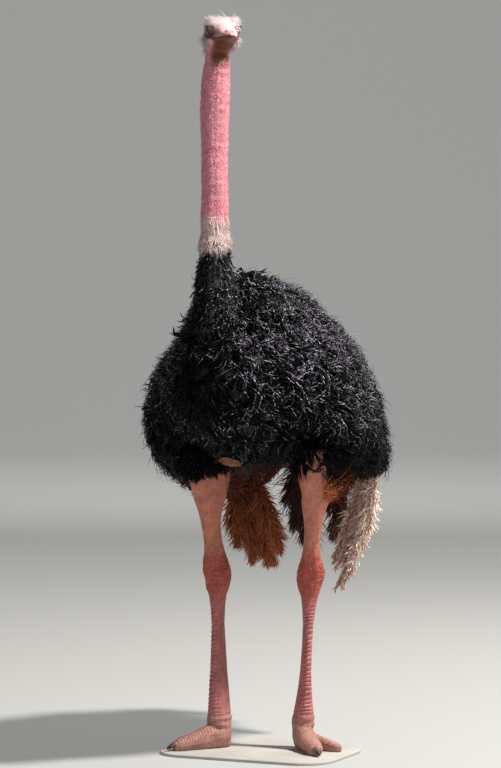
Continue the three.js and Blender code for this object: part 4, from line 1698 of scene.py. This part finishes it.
# %% Plume paths
# The root, the bend and the tip of each plume, in metres.
PLUMES = {
    "plumes_right": [
        ([-0.245, 0.276, 0.92], [-0.283, 0.318, 0.75], [-0.262, 0.318, 0.606]),
        ([-0.230, 0.296, 0.92], [-0.240, 0.338, 0.73], [-0.205, 0.331, 0.562]),
        ([-0.214, 0.296, 0.91], [-0.198, 0.346, 0.72], [-0.156, 0.331, 0.552]),
        ([-0.206, 0.276, 0.90], [-0.158, 0.325, 0.74], [-0.108, 0.311, 0.600]),
    ],
    "plumes_left": [
        ([0.227, 0.276, 0.93], [0.230, 0.316, 0.73], [0.122, 0.261, 0.484]),
        ([0.247, 0.246, 0.93], [0.248, 0.286, 0.75], [0.162, 0.246, 0.558]),
        ([0.202, 0.296, 0.93], [0.177, 0.331, 0.75], [0.100, 0.276, 0.575]),
    ],
    "tail": [
        ([0.012, 0.386, 1.21], [0.012, 0.586, 1.13], [0.012, 0.595, 0.86]),
        ([0.042, 0.382, 1.20], [0.060, 0.575, 1.12], [0.052, 0.585, 0.84]),
        ([0.072, 0.376, 1.18], [0.102, 0.561, 1.08], [0.094, 0.568, 0.855]),
        ([-0.028, 0.382, 1.20], [-0.048, 0.575, 1.12], [-0.040, 0.585, 0.835]),
        ([-0.058, 0.376, 1.18], [-0.108, 0.561, 1.08], [-0.096, 0.568, 0.85]),
    ],
    "undertail": [
        ([-0.054, 0.346, 1.02], [-0.103, 0.466, 0.89], [-0.118, 0.446, 0.66]),
        ([0.002, 0.326, 1.01], [-0.028, 0.446, 0.85], [-0.042, 0.426, 0.616]),
        ([0.058, 0.346, 1.02], [0.062, 0.466, 0.89], [0.042, 0.446, 0.646]),
    ],
}

# %% Plume looks
# The cream plumes' finish has brighter flecks than the soft one: painted light for the lit wing.
cream_plume = plume_finish("cream_plume", 260, 0.85, 2.6, 0.6, 0.3)
PLUME_LOOKS = {
    # The right wing's plumes: their own dirty cinnamon, made darker as painted shade; the shaded copy of
    # the left wing's.
    "plumes_right": {
        "wide": 0.05,
        "copies": 4,
        "barbs": 110,
        "tones": ("75361c", "cf7a4a"),
        "slot": "cinnamon_plumes",
        "loose": 0.016,
        "slope": 0.12,
        "finish": soft_plume,
    },
    # The left wing's plumes: the same feathers painted pale cream as the lit copy, painted light.
    "plumes_left": {
        "wide": 0.034,
        "copies": 4,
        "barbs": 110,
        "tones": ("b06a50", "fff0e2"),
        "slot": "cream_plumes",
        "loose": 0.012,
        "slope": 0.35,
        "finish": cream_plume,
    },
    "tail": {
        "wide": 0.056,
        "copies": 4,
        "barbs": 100,
        "tones": ("8a6a55", "d9c3b2"),
        "slot": "tail_plumes",
        "loose": 0.022,
        "slope": 0.0,
        "finish": soft_plume,
    },
    "undertail": {
        "wide": 0.066,
        "copies": 5,
        "barbs": 100,
        "tones": ("2a1611", "5c3323"),
        "slot": "tail_plumes",
        "loose": 0.026,
        "slope": 0.0,
        "finish": soft_plume,
    },
}


# %% Shafts
def bend(path, t):
    """Places and headings along a curved line through a root, a middle and a tip."""
    a, b, c = (np.array(p) for p in path)
    t = np.asarray(t)[:, None]
    spot = a * (1 - t) ** 2 + b * 2 * t * (1 - t) + c * t * t
    return spot, unit((b - a) * (1 - t) + (c - b) * t)


SHAFT_RINGS, SHAFT_SIDES = 14, 6
SHAFT_THICK = 0.0016


def shaft_mesh(path):
    """The points and triangles of a closed, tapered tube along a path."""
    spots, headings = bend(path, np.linspace(0, 0.97, SHAFT_RINGS))
    side = unit(np.cross(headings, [0.3, 1.0, 0.1]))
    other = np.cross(headings, side)
    points = []
    for k, (spot, u, v) in enumerate(zip(spots, side, other)):
        radius = SHAFT_THICK * (1 - 0.8 * k / (SHAFT_RINGS - 1))
        for angle in np.linspace(0, 2 * math.pi, SHAFT_SIDES, endpoint=False):
            points.append(spot + (u * math.cos(angle) + v * math.sin(angle)) * radius)
    faces = tube_faces(SHAFT_RINGS, SHAFT_SIDES)
    last = len(points) - SHAFT_SIDES
    for i in range(1, SHAFT_SIDES - 1):
        faces += [(0, i + 1, i), (last, last + i, last + i + 1)]
    return np.array(points), np.array(faces)


# %% Barbs
def plume_bundle(name, paths, look, seed):
    """Several plumes on nearly the same paths: barbs on both sides of each shaft, in one mesh."""
    draw = np.random.default_rng(seed)
    roots, outs, lies, lengths, shares, shafts = [], [], [], [], [], []
    for path in paths:
        for copy in range(look["copies"]):
            shift = draw.normal(0, 1, (3, 3)) * look["loose"] * np.array([[0.3], [0.9], [1.0]])
            bent = np.array(path) + (shift if copy else 0)
            bent[2, 2] += abs(shift[2, 2]) * 1.5 if copy else 0.02
            shafts.append(shaft_mesh(bent))
            t = np.sort(draw.uniform(0.05, 0.98, look["barbs"] * 2))
            spots, headings = bend(bent, t)
            sign = np.where(np.arange(len(t)) % 2, 1, -1)[:, None]
            across = unit(np.cross(headings, [0.25 * draw.normal(), 1.0, 0.2 * draw.normal()]))
            slant = (0.75 - 0.5 * t)[:, None] + draw.normal(0, 0.2, (len(t), 1))
            roots.append(spots)
            lies.append(unit(headings * np.cos(slant) + across * sign * np.sin(slant)))
            over = np.where(draw.random(len(t)) < 0.5, 1, -1)[:, None]
            outs.append(unit(np.cross(across * sign, headings)) * over)
            swell = np.sin(math.pi * np.clip(t * 0.9 + 0.12, 0, 1)) ** 0.6
            narrow = (0.45 + 0.55 * soft_step(t, 0.1, 0.5)) * (1 - 0.3 * soft_step(t, 0.85, 1.0))
            lengths.append(look["wide"] * (0.8 + 1.1 * swell) * (1.15 - 0.4 * t) * narrow)
            shares.append(t)
    roots, outs, lies = np.vstack(roots), np.vstack(outs), np.vstack(lies)
    lengths, shares = np.concatenate(lengths), np.concatenate(shares)
    n = len(roots)
    made = locks(
        roots,
        outs,
        lies,
        lengths * draw.uniform(0.7, 1.2, n),
        draw.uniform(0.0028, 0.0056, n),
        0.001,
        draw.normal(0.15, 0.35, n),
        draw.normal(0.0, 1.1, n),
        draw.normal(0, 0.8, n),
        steps=3,
        sink=0.0,
        sag=np.full(n, 0.4),
    )
    dark, light = (chip(code) for code in look["tones"])
    # Barbs towards the viewer's right, the key lamp's side, are painted lighter: painted light.
    outer = (roots - roots.mean(0)) @ TO_RIGHT / 0.06
    share = np.clip(0.2 + 0.4 * shares + look["slope"] * outer + draw.normal(0, 0.2, n), 0, 1)
    tip = soft_step(made["along"], 0.2, 1)[None]
    colours = blend_tones(dark, light, np.clip(share[:, None] + 0.35 * tip, 0, 1))
    low, high = roots.min(0), roots.max(0)
    where = (roots - low) / (high - low)
    atlas = 0.02 + 0.96 * np.stack([where[:, 0] * 0.7 + where[:, 1] * 0.3, where[:, 2]], 1)
    barbs = lock_mesh(name, made, colours, atlas)
    return add_object(name, with_shafts(barbs, shafts, dark))


def with_shafts(barbs, shafts, tone):
    """The barbs' mesh with the shafts added to it."""
    points, faces = [points_of(barbs)], [corners_of(barbs)]
    start = len(points[0])
    for shaft_points, shaft_faces in shafts:
        points.append(shaft_points)
        faces.append(shaft_faces + start)
        start += len(shaft_points)
    extra = sum(len(p) for p in points[1:])
    colours = np.zeros(len(points[0]) * 4, np.float32)
    barbs.color_attributes["tint"].data.foreach_get("color", colours)
    uv = np.zeros(len(barbs.loops) * 2, np.float32)
    barbs.uv_layers["OFBake"].data.foreach_get("uv", uv)
    mesh = mesh_from(barbs.name, np.vstack(points), np.vstack(faces))
    paint(mesh, np.vstack([colours.reshape(-1, 4)[:, :3], np.tile(tone, (extra, 1))]))
    layer = mesh.uv_layers.new(name="OFBake")
    corners = np.vstack([uv.reshape(-1, 2), np.full((len(mesh.loops) - len(uv) // 2, 2), 0.005)])
    layer.data.foreach_set("uv", np.ascontiguousarray(corners, np.float32).ravel())
    return mesh


# %% Make the plumes
for number, (name, paths) in enumerate(PLUMES.items()):
    look = PLUME_LOOKS[name]
    bundle = plume_bundle(f"{name}_barbs", paths, look, 100 + number)
    finished(f"{name}_barbs", bundle, look["finish"], [name])

# %% [markdown]
# ## Floor
#
# A studio's floor runs up into its wall in one sweep, so that no corner shows. The bird is looked
# at from all sides, so this floor is round: one outline, flat and then curving up, is turned about
# the middle. It gives off a little light of its own, which keeps it pale and even.


# %% Pale floor
FLOOR_TONE = (0.32, 0.32, 0.31)
FLOOR_GLOW = 0.17
FLAT_RADIUS, CURVE_RADIUS, WALL_TOP = 18.5, 9.0, 14.0
FLOOR_SIDES = 96


def round_stage():
    """A flat floor that curves up far away into a round wall, the same from every side."""
    profile = [(0.02, 0.0), (3.0, 0.0), (8.0, 0.0)]
    for turn in np.linspace(0, math.pi / 2, 14):
        profile.append((FLAT_RADIUS + CURVE_RADIUS * math.sin(turn), CURVE_RADIUS * (1 - math.cos(turn))))
    profile.append((FLAT_RADIUS + CURVE_RADIUS, WALL_TOP))
    turns = np.linspace(0, 2 * math.pi, FLOOR_SIDES, endpoint=False)
    points = [(r * math.cos(a), r * math.sin(a), z) for r, z in profile for a in turns]
    faces = tube_faces(len(profile), FLOOR_SIDES)
    faces += [(0, i, i + 1) for i in range(1, FLOOR_SIDES - 1)]
    return mesh_from("stage_floor", np.array(points), np.array(faces))


stage_floor = add_object("stage_floor", round_stage())
floor_finish, tree, shader = finish("pale_floor", 0.85, 0.2)
shader.inputs["Base Color"].default_value = (*FLOOR_TONE, 1)
shader.inputs["Emission Color"].default_value = (1, 1, 0.98, 1)
shader.inputs["Emission Strength"].default_value = FLOOR_GLOW
stage_floor.data.materials.append(floor_finish)
print("floor", 2 * (FLAT_RADIUS + CURVE_RADIUS), "m across")
